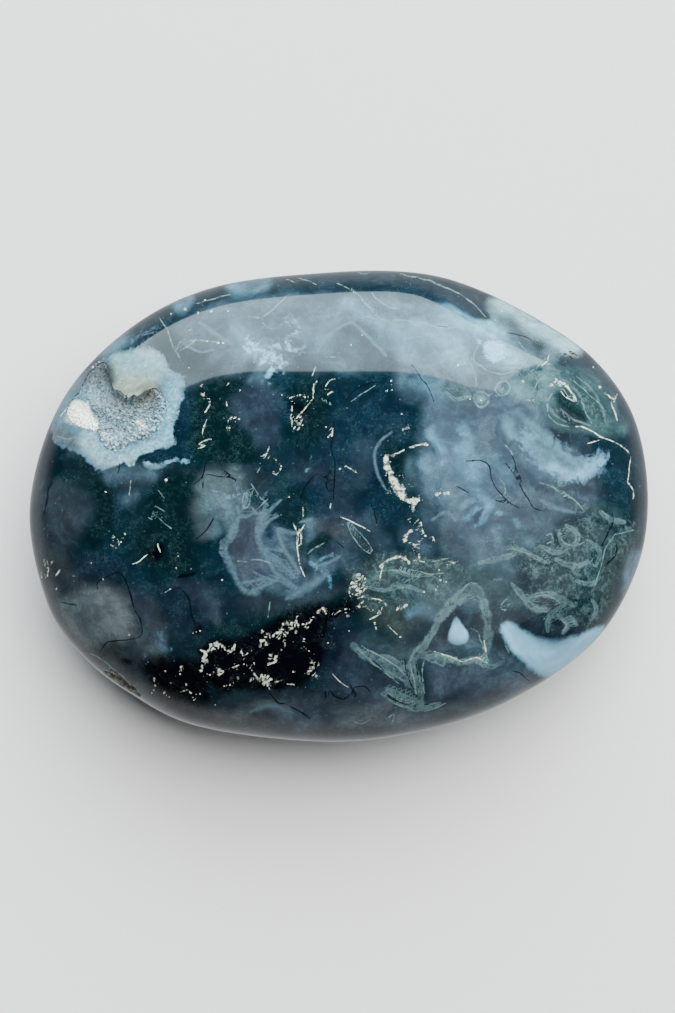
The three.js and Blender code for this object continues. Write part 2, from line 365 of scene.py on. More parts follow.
def rough(point, evenness=0.9):
    """A rough texture's value at a point, from four layers, each about twice as fine as the one before."""
    return turbulence.fractal(point, evenness, 2.1, 4)


mouth_line = smooth_line(HOLLOW_MOUTH, True, MOUTH_STEP) - HOLLOW_MIDDLE
mouth_bearings = np.arctan2(mouth_line[:, 1], mouth_line[:, 0])
mouth_order = np.argsort(mouth_bearings)
mouth_reaches = np.hypot(*mouth_line.T)


def mouth_reach(bearing):
    """How far the hollow's ragged mouth is from its middle."""
    reach = np.interp(bearing, mouth_bearings[mouth_order], mouth_reaches[mouth_order], period=2 * math.pi)
    jag = rough(Vector((math.cos(bearing), math.sin(bearing), 0)) * JAGGEDNESS)
    return reach - MOUTH_RAGGEDNESS * (0.5 + jag)


def hollow_depth(share, bearing):
    """How far down the hollow is, at a share of the way from its middle to its mouth."""
    towards_ledge = max(math.cos(bearing - LEDGE_BEARING), 0)
    climb = min(share, 1) ** (WALL_FULLNESS + LEDGE_STEEPNESS * towards_ledge**2)
    return HOLLOW_DEPTH + (LIP_DEPTH - HOLLOW_DEPTH) * climb


def hollow_floor(x, y, share, bearing):
    """The level of the hollow's floor at a place."""
    return crown_top(x, y) - hollow_depth(share, bearing)


def new_piece(name, points, faces):
    """A mesh object at the origin, from points in millimetres."""
    mesh = bpy.data.meshes.new(name)
    mesh.from_pydata([tuple(c * MM for c in point) for point in points], [], faces)
    return in_scene(name, mesh)


def hollow_sheet(name, inset, rings, floor_level, roof_level):
    """A closed sheet over the hollow's mouth, drawn in by an inset, with floor and roof at given levels."""
    bearings = [(k + 0.5) / HOLLOW_BEARINGS * 2 * math.pi - math.pi for k in range(HOLLOW_BEARINGS)]
    points, faces = [], []
    for level in (floor_level, roof_level):
        for share in rings:
            for bearing in bearings:
                reach = (mouth_reach(bearing) - inset) * share
                x = HOLLOW_MIDDLE[0] + reach * math.cos(bearing)
                y = HOLLOW_MIDDLE[1] + reach * math.sin(bearing)
                points.append((x, y, level(x, y, share, bearing)))
        points.append((*HOLLOW_MIDDLE, level(*HOLLOW_MIDDLE, 0, 0)))
    layer = len(points) // 2
    last = (len(rings) - 1) * HOLLOW_BEARINGS
    for k in range(HOLLOW_BEARINGS):
        following = (k + 1) % HOLLOW_BEARINGS
        for outer in range(0, last, HOLLOW_BEARINGS):
            inner = outer + HOLLOW_BEARINGS
            faces.append((outer + following, outer + k, inner + k, inner + following))
            above = (outer + k, outer + following, inner + following, inner + k)
            faces.append(tuple(layer + i for i in above))
        faces.append((last + following, last + k, layer - 1))
        faces.append((layer + last + k, layer + last + following, 2 * layer - 1))
        faces.append((k, following, layer + following, layer + k))
    return new_piece(name, points, faces)


def pit_tool(name, place, half, turn):
    """A rough ellipsoid over the crown's surface."""
    globe = bpy.data.meshes.new(name)
    shape = bmesh.new()
    bmesh.ops.create_icosphere(shape, subdivisions=GLOBE_CUTS, radius=1)
    set_out = Matrix.Rotation(math.radians(turn), 3, "Z")
    centre = Vector((*place, crown_top(*place)))
    for corner in shape.verts:
        uneven = 1 + PIT_ROUGHNESS * rough(corner.co * PIT_GRAIN + centre, 0.8)
        stretched = Vector(c * h for c, h in zip(corner.co * uneven, half))
        corner.co = (set_out @ stretched + centre) * MM
    shape.to_mesh(globe)
    shape.free()
    return in_scene(name, globe)


tools = [hollow_sheet("hollow_tool", 0, HOLLOW_RINGS, hollow_floor, lambda *_: TOOL_TOP)]
tools += [pit_tool("pit_tool", *spec) for spec in PITS]
for tool in tools:
    cut = stone.modifiers.new("cut", "BOOLEAN")
    cut.operation = "DIFFERENCE"
    cut.solver = "MANIFOLD"
    cut.object = tool
plain_mesh(stone)
for tool in tools:
    bpy.data.objects.remove(tool)
stone_points = corners_of(stone.data)
broken = bpy.data.materials.new("broken_agate")
stone.data.materials.clear()
stone.data.materials.append(agate)
stone.data.materials.append(broken)
off_polish = np.array([lens_surface.find_nearest(Vector(p))[3] for p in stone_points]) > OFF_POLISH
for face in stone.data.polygons:
    face.material_index = int(any(off_polish[i] for i in face.vertices))
stone.data.shade_smooth()
stone.data.set_sharp_from_angle(angle=SHARP_ANGLE)

# The stone's markings
# They are only colour. Most lie in the chalcedony, and a few are painted light and shade, marked where they
# stand. Each is a few points placed where the picture shows it, in its pixels. A stroke with a radius is
# drawn along its points, one without is a closed patch, and later ones lie over earlier ones.
PIGMENTS = {
    "blue": (0.0034, 0.0145, 0.0225), "deep": (0.0028, 0.012, 0.0225), "green": (0.0011, 0.01, 0.0135),
    "navy": (0.0046, 0.0115, 0.023), "slate": (0.0205, 0.031, 0.0415), "dusk": (0.015, 0.0245, 0.04),
    "smoke": (0.033, 0.0415, 0.0465), "olive": (0.025, 0.039, 0.0385), "tan": (0.062, 0.09, 0.102),
    "violet": (0.034, 0.044, 0.064), "mist": (0.043, 0.074, 0.104), "haze": (0.07, 0.13, 0.175),
    "puff": (0.115, 0.3, 0.42), "ice": (0.28, 0.66, 0.88), "chalk": (0.295, 0.53, 0.57),
    "cream": (0.42, 0.48, 0.37), "glare_white": (0.95, 1.0, 0.9), "sea": (0.03, 0.064, 0.07),
    "pale": (0.15, 0.3, 0.33), "ledge_shade_brown": (0.19, 0.195, 0.17), "glass": (0.105, 0.18, 0.215),
    "shell": (0.125, 0.29, 0.38), "billow": (0.085, 0.17, 0.235), "frost": (0.26, 0.56, 0.7),
    "pewter": (0.098, 0.118, 0.124), "painted_light_lilac": (0.048, 0.068, 0.098), "quartz": (0.25, 0.37, 0.41),
    "ash": (0.125, 0.165, 0.19), "ledge_foot_light": (0.3, 0.285, 0.245), "bone": (0.42, 0.64, 0.68),
    "ink": (0.0015, 0.005, 0.011),
}
GROUND_STROKES = [  # pigment, strength, radius, softness, points
    ("deep", 0.9, 0, 12, [(330, 385), (400, 385), (412, 430), (382, 470), (390, 520), (400, 560), (350, 572),
        (312, 520), (300, 450), (315, 400)]),
    ("dusk", 0.55, 9, 12, [(300, 470), (330, 480), (345, 520)]),
    ("green", 0.9, 0, 7, [(286, 395), (300, 380), (330, 378), (334, 410), (322, 440), (306, 458),
        (284, 440)]),
    ("green", 0.95, 0, 5, [(196, 388), (215, 380), (245, 374), (242, 386), (229, 398), (231, 414),
        (243, 426), (250, 441), (258, 454), (243, 465), (214, 463), (194, 463), (191, 430)]),
    ("dusk", 0.9, 0, 6, [(231, 392), (246, 384), (270, 386), (284, 396), (277, 416), (275, 440), (256, 444),
        (244, 425), (232, 410)]),
    ("deep", 0.8, 8, 6, [(180, 395), (178, 425), (182, 455)]),
    ("slate", 0.55, 7, 8, [(252, 474), (262, 486)]),
    ("green", 0.9, 0, 5, [(283, 490), (305, 488), (304, 520), (291, 526), (278, 512)]),
    ("navy", 0.8, 0, 14, [(55, 560), (110, 555), (150, 590), (200, 575), (240, 600), (200, 640), (130, 620),
        (70, 600)]),
    ("green", 0.9, 0, 6, [(52, 452), (76, 449), (97, 466), (112, 491), (111, 519), (103, 545), (86, 548),
        (72, 537), (94, 515), (91, 496), (66, 481), (52, 471)]),
    ("slate", 0.85, 0, 9, [(45, 492), (60, 481), (84, 490), (93, 508), (83, 530), (62, 552), (46, 545)]),
    ("blue", 0.8, 9, 8, [(122, 492), (138, 512), (150, 540)]),
    ("slate", 0.8, 0, 8, [(84, 462), (104, 470), (140, 468), (190, 470), (182, 480), (140, 487),
        (112, 484)]),
    ("haze", 0.45, 5, 7, [(127, 499), (134, 497)]),
    ("green", 0.95, 0, 7, [(122, 515), (148, 497), (158, 470), (186, 468), (206, 486), (201, 505),
        (219, 520), (226, 545), (206, 558), (205, 575), (162, 580), (136, 562), (119, 540)]),
    ("olive", 0.75, 0, 5, [(188, 506), (206, 508), (215, 521), (202, 537), (186, 530)]),
    ("deep", 0.75, 8, 8, [(182, 556), (214, 558), (232, 590)]),
    ("smoke", 0.95, 0, 10, [(60, 606), (80, 592), (110, 585), (128, 599), (138, 624), (122, 644), (92, 641),
        (72, 630)]),
    ("smoke", 0.6, 7, 10, [(52, 590), (70, 640), (120, 655)]),
    ("dusk", 0.8, 0, 7, [(176, 582), (205, 584), (212, 604), (206, 622), (198, 612), (190, 596)]),
    ("mist", 0.35, 4, 7, [(208, 592), (212, 612)]),
    ("violet", 0.85, 3.5, 4, [(214, 606), (217, 622), (224, 627)]),
    ("green", 0.85, 0, 9, [(206, 628), (250, 612), (292, 606), (330, 596), (356, 590), (360, 612),
        (330, 622), (270, 640), (220, 645)]),
    ("slate", 0.75, 0, 8, [(250, 594), (290, 600), (330, 586), (345, 590), (318, 603), (272, 612),
        (240, 605)]),
    ("slate", 0.9, 0, 12, [(238, 696), (300, 690), (360, 690), (425, 696), (430, 722), (335, 738),
        (250, 732), (205, 716)]),
    ("smoke", 0.7, 6, 9, [(215, 715), (250, 727), (300, 735), (350, 737)]),
    ("smoke", 0.55, 5, 8, [(262, 708), (285, 714)]), ("smoke", 0.45, 5, 7, [(335, 712), (350, 716)]),
    ("smoke", 0.9, 0, 4, [(84, 650), (110, 665), (135, 684), (150, 698), (190, 716), (214, 726), (180, 722),
        (140, 706), (104, 682)]),
    ("smoke", 0.5, 4, 5, [(126, 668), (160, 694), (200, 712)]),
    ("navy", 0.85, 0, 8, [(310, 615), (345, 612), (352, 650), (330, 680), (310, 660)]),
    ("dusk", 0.9, 0, 8, [(345, 640), (380, 640), (408, 655), (412, 690), (380, 706), (350, 700),
        (330, 690)]),
    ("dusk", 0.95, 0, 7, [(428, 668), (470, 664), (503, 668), (530, 680), (505, 702), (452, 714),
        (430, 704)]),
    ("slate", 0.55, 7, 9, [(350, 722), (430, 716), (500, 700)]),
    ("sea", 0.45, 4, 5, [(360, 716), (430, 714), (500, 700), (540, 682)]),
    ("slate", 0.9, 0, 8, [(440, 612), (470, 592), (500, 565), (550, 572), (566, 600), (588, 620), (560, 640),
        (520, 628), (500, 650), (480, 655), (440, 650)]),
    ("deep", 0.55, 0, 6, [(488, 570), (520, 562), (552, 576), (540, 596), (510, 598)]),
    ("deep", 0.6, 0, 6, [(508, 612), (530, 608), (560, 616), (585, 632), (555, 640), (528, 630)]),
    ("deep", 0.6, 0, 5, [(440, 622), (450, 606), (468, 596), (476, 612), (478, 640), (462, 652),
        (444, 646)]),
    ("olive", 0.9, 0, 8, [(350, 570), (372, 562), (400, 556), (440, 560), (462, 575), (452, 598), (420, 622),
        (400, 636), (372, 622), (352, 600)]),
    # Painted highlight: the haze stroke at the end of the next line paints a soft light spot.
    ("smoke", 0.5, 6, 7, [(378, 590), (400, 598)]), ("haze", 0.55, 4.5, 5, [(410, 612), (422, 606)]),
    ("tan", 0.8, 0, 6, [(201, 468), (222, 463), (240, 470), (247, 485), (243, 505), (232, 524), (216, 513),
        (204, 500), (194, 488)]),
    ("violet", 0.95, 0, 4, [(231, 522), (240, 514), (258, 510), (268, 522), (262, 545), (268, 575),
        (262, 591), (246, 586), (237, 570), (229, 550)]),
    ("mist", 0.75, 0, 6, [(262, 530), (284, 529), (300, 545), (310, 571), (326, 556), (337, 562), (320, 581),
        (292, 598), (266, 590), (262, 570)]),
    ("deep", 0.85, 4.5, 3, [(268, 528), (270, 535)]), ("deep", 0.7, 2.5, 3, [(272, 550), (281, 556)]),
    ("dusk", 0.75, 0, 5, [(310, 522), (350, 512), (358, 535), (345, 560), (328, 556), (320, 540)]),
    ("mist", 0.95, 0, 9, [(428, 385), (450, 370), (480, 376), (520, 372), (548, 388), (550, 422), (580, 455),
        (604, 482), (588, 508), (560, 518), (545, 545), (510, 560), (470, 562), (444, 545), (424, 520),
        (422, 480), (418, 450), (425, 420)]),
    ("slate", 0.7, 7, 9, [(438, 512), (446, 535), (462, 548)]),
    ("deep", 0.4, 6, 8, [(430, 510), (436, 532)]),
    ("dusk", 0.45, 6, 8, [(500, 430), (520, 470), (560, 500)]),
    ("slate", 0.5, 6, 8, [(540, 488), (552, 520), (520, 545)]),
    ("violet", 0.6, 9, 9, [(540, 500), (500, 520)]), ("haze", 0.6, 6, 7, [(432, 455), (452, 468)]),
    ("haze", 0.6, 5, 6, [(436, 430), (444, 448)]), ("haze", 0.6, 8, 8, [(462, 462), (474, 482)]),
    ("haze", 0.5, 5, 6, [(517, 415), (545, 436)]), ("haze", 0.45, 5, 7, [(500, 540), (530, 540)]),
    ("sea", 0.6, 8, 8, [(446, 392), (462, 398)]),
    # Painted reflection, in part: this milky patch over the upper crown follows the outline of the window's
    # reflection band, so it is partly the stone's milk and partly the band's light painted in.
    ("mist", 0.85, 0, 8, [(170, 335), (192, 312), (250, 296), (340, 294), (430, 302), (500, 330), (540, 345),
        (548, 378), (480, 385), (430, 372), (340, 370), (250, 372), (190, 384), (180, 360)]),
    ("blue", 0.7, 0, 9, [(300, 345), (330, 325), (370, 322), (395, 350), (395, 372), (300, 374)]),
    ("haze", 0.85, 0, 9, [(395, 330), (440, 320), (450, 360), (430, 372), (405, 366)]),
    ("haze", 0.8, 5, 6, [(385, 305), (440, 312), (480, 322)]), ("haze", 0.7, 4, 5, [(478, 355), (520, 360)]),
    ("slate", 0.75, 6, 7, [(200, 370), (230, 364)]), ("slate", 0.55, 6, 7, [(465, 345), (480, 353)]),
    ("mist", 0.5, 6, 7, [(500, 325), (470, 330)]),
    ("slate", 0.9, 0, 4, [(163, 322), (173, 338), (182, 360), (186, 388), (176, 376), (164, 366),
        (166, 345)]),
    ("sea", 0.9, 0, 5, [(176, 326), (186, 318), (186, 345), (212, 352), (208, 361), (190, 366), (180, 355)]),
    ("blue", 0.9, 5, 4, [(180, 308), (210, 297), (240, 291), (290, 287), (345, 284), (420, 285), (455, 293),
        (478, 307)]),
    ("green", 0.9, 2.5, 3, [(455, 297), (474, 306), (487, 316)]),
    ("slate", 0.7, 4, 5, [(100, 362), (92, 376)]),
    ("sea", 0.9, 0, 5, [(528, 340), (548, 348), (560, 366), (600, 372), (620, 400), (628, 430), (600, 436),
        (570, 428), (550, 426), (545, 400), (535, 380), (524, 360)]),
    ("slate", 0.8, 3.5, 4, [(514, 326), (524, 332)]),
    ("chalk", 0.75, 0, 6, [(488, 305), (505, 300), (540, 318), (575, 340), (579, 352), (560, 352),
        (540, 338), (515, 328)]),
    ("deep", 0.7, 7, 6, [(590, 362), (610, 385), (625, 410)]),
    ("blue", 0.75, 7, 6, [(596, 470), (606, 490)]),
    ("blue", 0.95, 0, 4, [(550, 426), (570, 432), (600, 440), (622, 448), (629, 462), (626, 490), (606, 492),
        (600, 470), (580, 450), (560, 442)]),
    ("dusk", 0.8, 6, 6, [(560, 488), (600, 492)]),
    ("green", 0.7, 4, 5, [(636, 440), (637, 480), (636, 520)]),
    ("green", 0.7, 8, 7, [(598, 515), (615, 528)]),
    ("olive", 0.9, 0, 5, [(606, 556), (618, 540), (634, 534), (632, 552), (618, 580), (602, 606),
        (594, 590)]),
    ("haze", 0.9, 0, 4, [(628, 553), (640, 548), (639, 566), (632, 586), (622, 596), (624, 572)]),
    ("slate", 0.6, 5, 6, [(38, 440), (36, 500), (42, 560)]), ("haze", 0.55, 8, 9, [(404, 380), (416, 392)]),
    ("pale", 0.55, 7, 7, [(526, 372), (545, 385)]), ("haze", 0.6, 7, 8, [(538, 398), (540, 415)]),
    ("haze", 0.55, 8, 9, [(430, 455), (440, 478)]), ("haze", 0.55, 9, 9, [(448, 428), (462, 446)]),
    ("haze", 0.6, 10, 9, [(455, 470), (480, 490)]), ("haze", 0.5, 8, 9, [(508, 425), (530, 440)]),
    ("haze", 0.5, 7, 8, [(500, 535), (526, 545)]), ("puff", 0.5, 4, 4, [(432, 436), (441, 447)]),
    ("puff", 0.55, 3.5, 4, [(443, 461), (453, 470)]),
    ("puff", 0.6, 5, 5, [(459, 468), (468, 478), (476, 484)]), ("puff", 0.6, 4, 4, [(461, 428), (468, 437)]),
    ("puff", 0.45, 3, 4, [(455, 450), (470, 446)]),
    ("puff", 0.7, 4, 3.5, [(474, 493), (484, 498), (488, 506)]),
    ("puff", 0.7, 1.8, 2.2, [(484, 504), (484, 515), (478, 525)]),
    ("puff", 0.6, 1.8, 2.2, [(476, 506), (466, 518)]), ("puff", 0.65, 2, 2.2, [(472, 501), (461, 506)]),
    ("puff", 0.55, 1.6, 2, [(496, 513), (500, 515)]), ("puff", 0.5, 1.6, 2, [(513, 519), (521, 526)]),
    ("puff", 0.55, 4, 4, [(506, 428), (515, 435)]),
    ("puff", 0.4, 3, 4, [(516, 414), (532, 426), (544, 436)]), ("puff", 0.4, 3, 4, [(527, 538), (534, 545)]),
    ("puff", 0.4, 2.5, 3.5, [(495, 530), (499, 536)]), ("puff", 0.4, 3, 4, [(422, 462), (428, 470)]),
    ("haze", 0.5, 6, 7, [(206, 505), (216, 530)]), ("haze", 0.6, 5, 5, [(308, 524), (314, 545)]),
    # Painted highlight: the faint haze stroke at the end of the next line paints a soft light spot.
    ("smoke", 0.7, 12, 12, [(80, 604), (98, 622)]), ("haze", 0.12, 10, 12, [(84, 600), (108, 612)]),
    ("smoke", 0.6, 8, 9, [(146, 606), (158, 630)]), ("haze", 0.5, 7, 7, [(486, 562), (510, 572)]),
    ("haze", 0.45, 9, 8, [(440, 590), (475, 600)]), ("slate", 0.6, 14, 10, [(440, 650), (500, 655)]),
    # Painted highlight: the haze and puff strokes on the next line paint the same soft light spot as above.
    ("haze", 0.5, 6, 6, [(408, 606), (424, 608)]), ("puff", 0.5, 3, 3.5, [(411, 612), (420, 606)]),
    ("slate", 0.6, 8, 9, [(340, 726), (420, 716)]), ("slate", 0.5, 8, 8, [(412, 690), (426, 706)]),
    ("puff", 0.5, 5, 5, [(178, 306), (188, 300)]), ("puff", 0.35, 6, 7, [(104, 350), (124, 340)]),
    ("haze", 0.7, 9, 8, [(310, 330), (345, 312)]), ("haze", 0.8, 10, 9, [(400, 340), (440, 350)]),
    ("puff", 0.7, 9, 9, [(420, 330), (470, 340)]), ("puff", 0.5, 6, 7, [(350, 305), (380, 322)]),
    ("green", 0.7, 4, 5, [(634, 455), (634, 490)]),
    ("slate", 0.75, 10, 8, [(172, 346), (184, 372), (214, 372)]),
    ("green", 0.6, 7, 7, [(352, 606), (372, 616)]), ("green", 0.6, 7, 7, [(356, 562), (364, 575)]),
    ("deep", 0.6, 3.5, 4, [(330, 279), (400, 279), (450, 287)]),
    ("pewter", 0.9, 0, 10, [(60, 606), (80, 592), (110, 590), (126, 604), (134, 624), (120, 642), (92, 641),
        (72, 630)]),
    ("pewter", 0.45, 12, 10, [(140, 618), (148, 655)]), ("smoke", 0.6, 7, 7, [(195, 508), (204, 528)]),
    ("sea", 0.7, 11, 10, [(440, 585), (480, 572), (512, 596)]),
    # Painted light, in part: the three lilac strokes and the pewter stroke below lie on the lower front
    # slope. They carry the stone's purple grey, painted lighter to make up for the light that slope does not
    # get.
    ("painted_light_lilac", 0.9, 9, 8, [(440, 690), (480, 682), (520, 684)]),
    ("painted_light_lilac", 0.6, 9, 9, [(355, 690), (385, 698)]),
    ("painted_light_lilac", 0.7, 7, 8, [(300, 722), (345, 716), (420, 722)]),
    ("pewter", 0.5, 5, 7, [(240, 716), (262, 706), (290, 712)]),
    ("sea", 0.8, 7, 6, [(598, 508), (612, 516)]), ("haze", 0.7, 5, 6, [(246, 372), (262, 380)]),
    ("puff", 0.5, 8, 8, [(424, 384), (440, 392)]), ("puff", 0.65, 12, 9, [(452, 308), (490, 332)]),
    ("pale", 0.6, 9, 9, [(518, 365), (556, 380)]), ("haze", 0.6, 6, 6, [(102, 358), (114, 348)]),
    ("green", 0.85, 8, 7, [(166, 338), (182, 366), (212, 372)]),
    ("deep", 0.5, 5, 6, [(424, 438), (430, 448)]), ("deep", 0.5, 10, 10, [(112, 552), (150, 560)]),
    ("green", 0.7, 6, 6, [(196, 462), (225, 466)]),
    ("deep", 0.6, 14, 12, [(285, 410), (330, 440), (352, 420)]),
    ("violet", 0.6, 8, 6, [(268, 570), (290, 582)]), ("olive", 0.7, 7, 6, [(282, 548), (292, 562)]),
    ("smoke", 0.6, 9, 9, [(318, 528), (345, 530)]),
    ("green", 0.9, 2.5, 3, [(300, 548), (304, 562), (304, 572)]),
    ("slate", 0.8, 8, 8, [(150, 345), (162, 338)]), ("sea", 0.5, 9, 9, [(370, 640), (420, 660)]),
    ("blue", 0.6, 14, 12, [(150, 515), (190, 530)]), ("ink", 0.85, 9, 9, [(322, 626), (334, 652)]),
    ("puff", 0.5, 12, 10, [(392, 336), (412, 348)]), ("frost", 0.4, 14, 10, [(446, 338), (462, 360)]),
    ("frost", 0.45, 9, 8, [(498, 332), (512, 362)]), ("puff", 0.3, 14, 12, [(318, 340), (345, 356)]),
    ("puff", 0.3, 12, 12, [(240, 336), (262, 360)]),
    ("frost", 0.5, 8, 8, [(482, 318), (520, 338), (546, 354)]),
    ("puff", 0.6, 6, 6, [(232, 288), (262, 283)]), ("slate", 0.6, 8, 8, [(352, 540), (372, 548)]),
    # Painted light, in part: the pewter and lilac strokes on the next line lie on the lower front slope and
    # are painted lighter to make up for the light it does not get.
    ("pewter", 0.6, 9, 9, [(345, 716), (400, 712)]), ("painted_light_lilac", 0.6, 9, 9, [(285, 712), (320, 716)]),
    ("mist", 0.5, 12, 12, [(448, 474), (470, 490), (500, 466)]),
    ("slate", 0.5, 10, 10, [(512, 536), (530, 528)]), ("smoke", 0.3, 12, 10, [(58, 504), (68, 520)]),
    ("deep", 0.8, 14, 12, [(340, 400), (372, 416), (366, 440)]),
    ("green", 0.95, 3.2, 3, [(452, 294), (472, 303), (487, 316)]),
    ("blue", 0.9, 4, 4, [(420, 285), (455, 296)]), ("mist", 0.6, 8, 8, [(502, 326), (540, 352)]),
    ("slate", 0.45, 8, 8, [(405, 392), (440, 396)]), ("mist", 0.35, 7, 10, [(364, 448), (360, 480)]),
    ("sea", 0.5, 5, 6, [(408, 462), (412, 486)]), ("haze", 0.4, 6, 7, [(100, 473), (152, 472)]),
    ("tan", 0.6, 7, 8, [(197, 505), (204, 530)]), ("tan", 0.55, 6, 7, [(244, 508), (264, 518)]),
    ("mist", 0.5, 8, 8, [(340, 556), (352, 566)]), ("smoke", 0.5, 8, 8, [(52, 556), (70, 584)]),
    ("smoke", 0.55, 9, 9, [(132, 604), (138, 626)]), ("pewter", 0.7, 8, 9, [(78, 610), (92, 632)]),
    # Painted highlight: the haze stroke at the end of the next line paints the same soft light spot.
    ("haze", 0.6, 5, 5, [(158, 634), (162, 648)]), ("haze", 0.5, 7, 7, [(412, 600), (432, 608)]),
    ("mist", 0.6, 8, 8, [(444, 650), (484, 650)]), ("puff", 0.45, 9, 8, [(462, 452), (478, 470)]),
    ("haze", 0.5, 8, 8, [(446, 480), (452, 496)]), ("puff", 0.35, 7, 7, [(496, 462), (508, 474)]),
    ("slate", 0.6, 7, 7, [(560, 486), (594, 484)]), ("blue", 0.5, 14, 12, [(140, 530), (186, 520)]),
    ("slate", 0.5, 6, 6, [(240, 284), (262, 283)]), ("haze", 0.3, 10, 10, [(520, 455), (545, 470)]),
    ("mist", 0.6, 9, 9, [(512, 664), (524, 672)]),
    ("green", 0.95, 0, 2, [(434, 284), (462, 287), (477, 297), (489, 319), (470, 309), (448, 298)]),
    ("slate", 0.55, 5, 5, [(510, 322), (524, 334), (540, 348)]),
    ("slate", 0.5, 4, 4, [(474, 352), (484, 368), (512, 373)]),
    ("mist", 0.5, 6, 8, [(72, 456), (90, 474), (108, 480)]), ("dusk", 0.7, 10, 9, [(138, 600), (148, 634)]),
    # Painted light, in part: the lilac stroke at the end of the next line lies on the lower front slope and
    # is painted lighter to make up for the light it does not get.
    ("pewter", 0.85, 10, 9, [(76, 604), (90, 632)]), ("painted_light_lilac", 0.8, 8, 8, [(438, 674), (480, 666)]),
    ("slate", 0.6, 6, 6, [(258, 380), (272, 388)]), ("blue", 0.5, 8, 8, [(398, 388), (416, 398)]),
    ("slate", 0.5, 12, 10, [(330, 350), (352, 360)]), ("green", 0.5, 12, 10, [(168, 350), (200, 374)]),
    ("dusk", 0.35, 9, 9, [(500, 460), (520, 478)]), ("haze", 0.6, 8, 8, [(444, 466), (454, 490)]),
    ("pale", 0.55, 3.5, 3, [(481, 399), (482, 400)]), ("pale", 0.55, 3.5, 3, [(501, 389), (502, 390)]),
    ("haze", 0.4, 6, 7, [(408, 466), (414, 484)]), ("mist", 0.5, 7, 8, [(276, 560), (296, 578)]),
    ("haze", 0.5, 6, 6, [(228, 506), (232, 528)]), ("blue", 0.6, 7, 7, [(208, 560), (216, 590)]),
    ("slate", 0.5, 8, 8, [(52, 556), (66, 584)]),
    ("slate", 0.55, 9, 7, [(486, 312), (514, 327), (540, 350)]),
    ("smoke", 0.6, 7, 6, [(470, 302), (484, 312)]), ("green", 0.5, 8, 7, [(160, 340), (172, 352)]),
    ("blue", 0.45, 9, 8, [(276, 384), (290, 400)]), ("blue", 0.6, 5, 6, [(410, 484), (414, 496)]),
    ("slate", 0.4, 5, 7, [(462, 502), (486, 530)]), ("olive", 0.6, 6, 6, [(566, 528), (578, 546)]),
    ("blue", 0.5, 6, 6, [(634, 456), (634, 490)]), ("mist", 0.6, 7, 8, [(408, 536), (424, 546)]),
    # Painted highlight: the haze stroke at the start of the next line paints the same soft light spot.
    ("haze", 0.45, 8, 8, [(414, 598), (430, 612)]), ("smoke", 0.6, 9, 9, [(56, 560), (80, 588)]),
    ("pewter", 0.8, 8, 8, [(78, 618), (92, 640)]), ("slate", 0.7, 9, 8, [(120, 662), (164, 668)]),
    ("haze", 0.45, 9, 8, [(470, 648), (506, 668)]), ("mist", 0.6, 7, 7, [(516, 384), (530, 402)]),
    ("mist", 0.4, 7, 8, [(366, 520), (384, 542)]), ("haze", 0.6, 5, 5, [(308, 556), (316, 566)]),
    ("slate", 0.3, 7, 8, [(340, 352), (348, 360)]), ("pale", 0.5, 7, 7, [(516, 384), (536, 398)]),
    ("deep", 0.95, 0, 2.5, [(424, 286), (462, 290), (481, 302), (490, 321), (468, 314), (444, 304),
        (426, 298)]),
    ("ash", 0.35, 9, 9, [(78, 610), (88, 634)]), ("smoke", 0.6, 8, 8, [(116, 658), (160, 664)]),
    ("green", 0.5, 10, 8, [(160, 344), (192, 366)]),
]
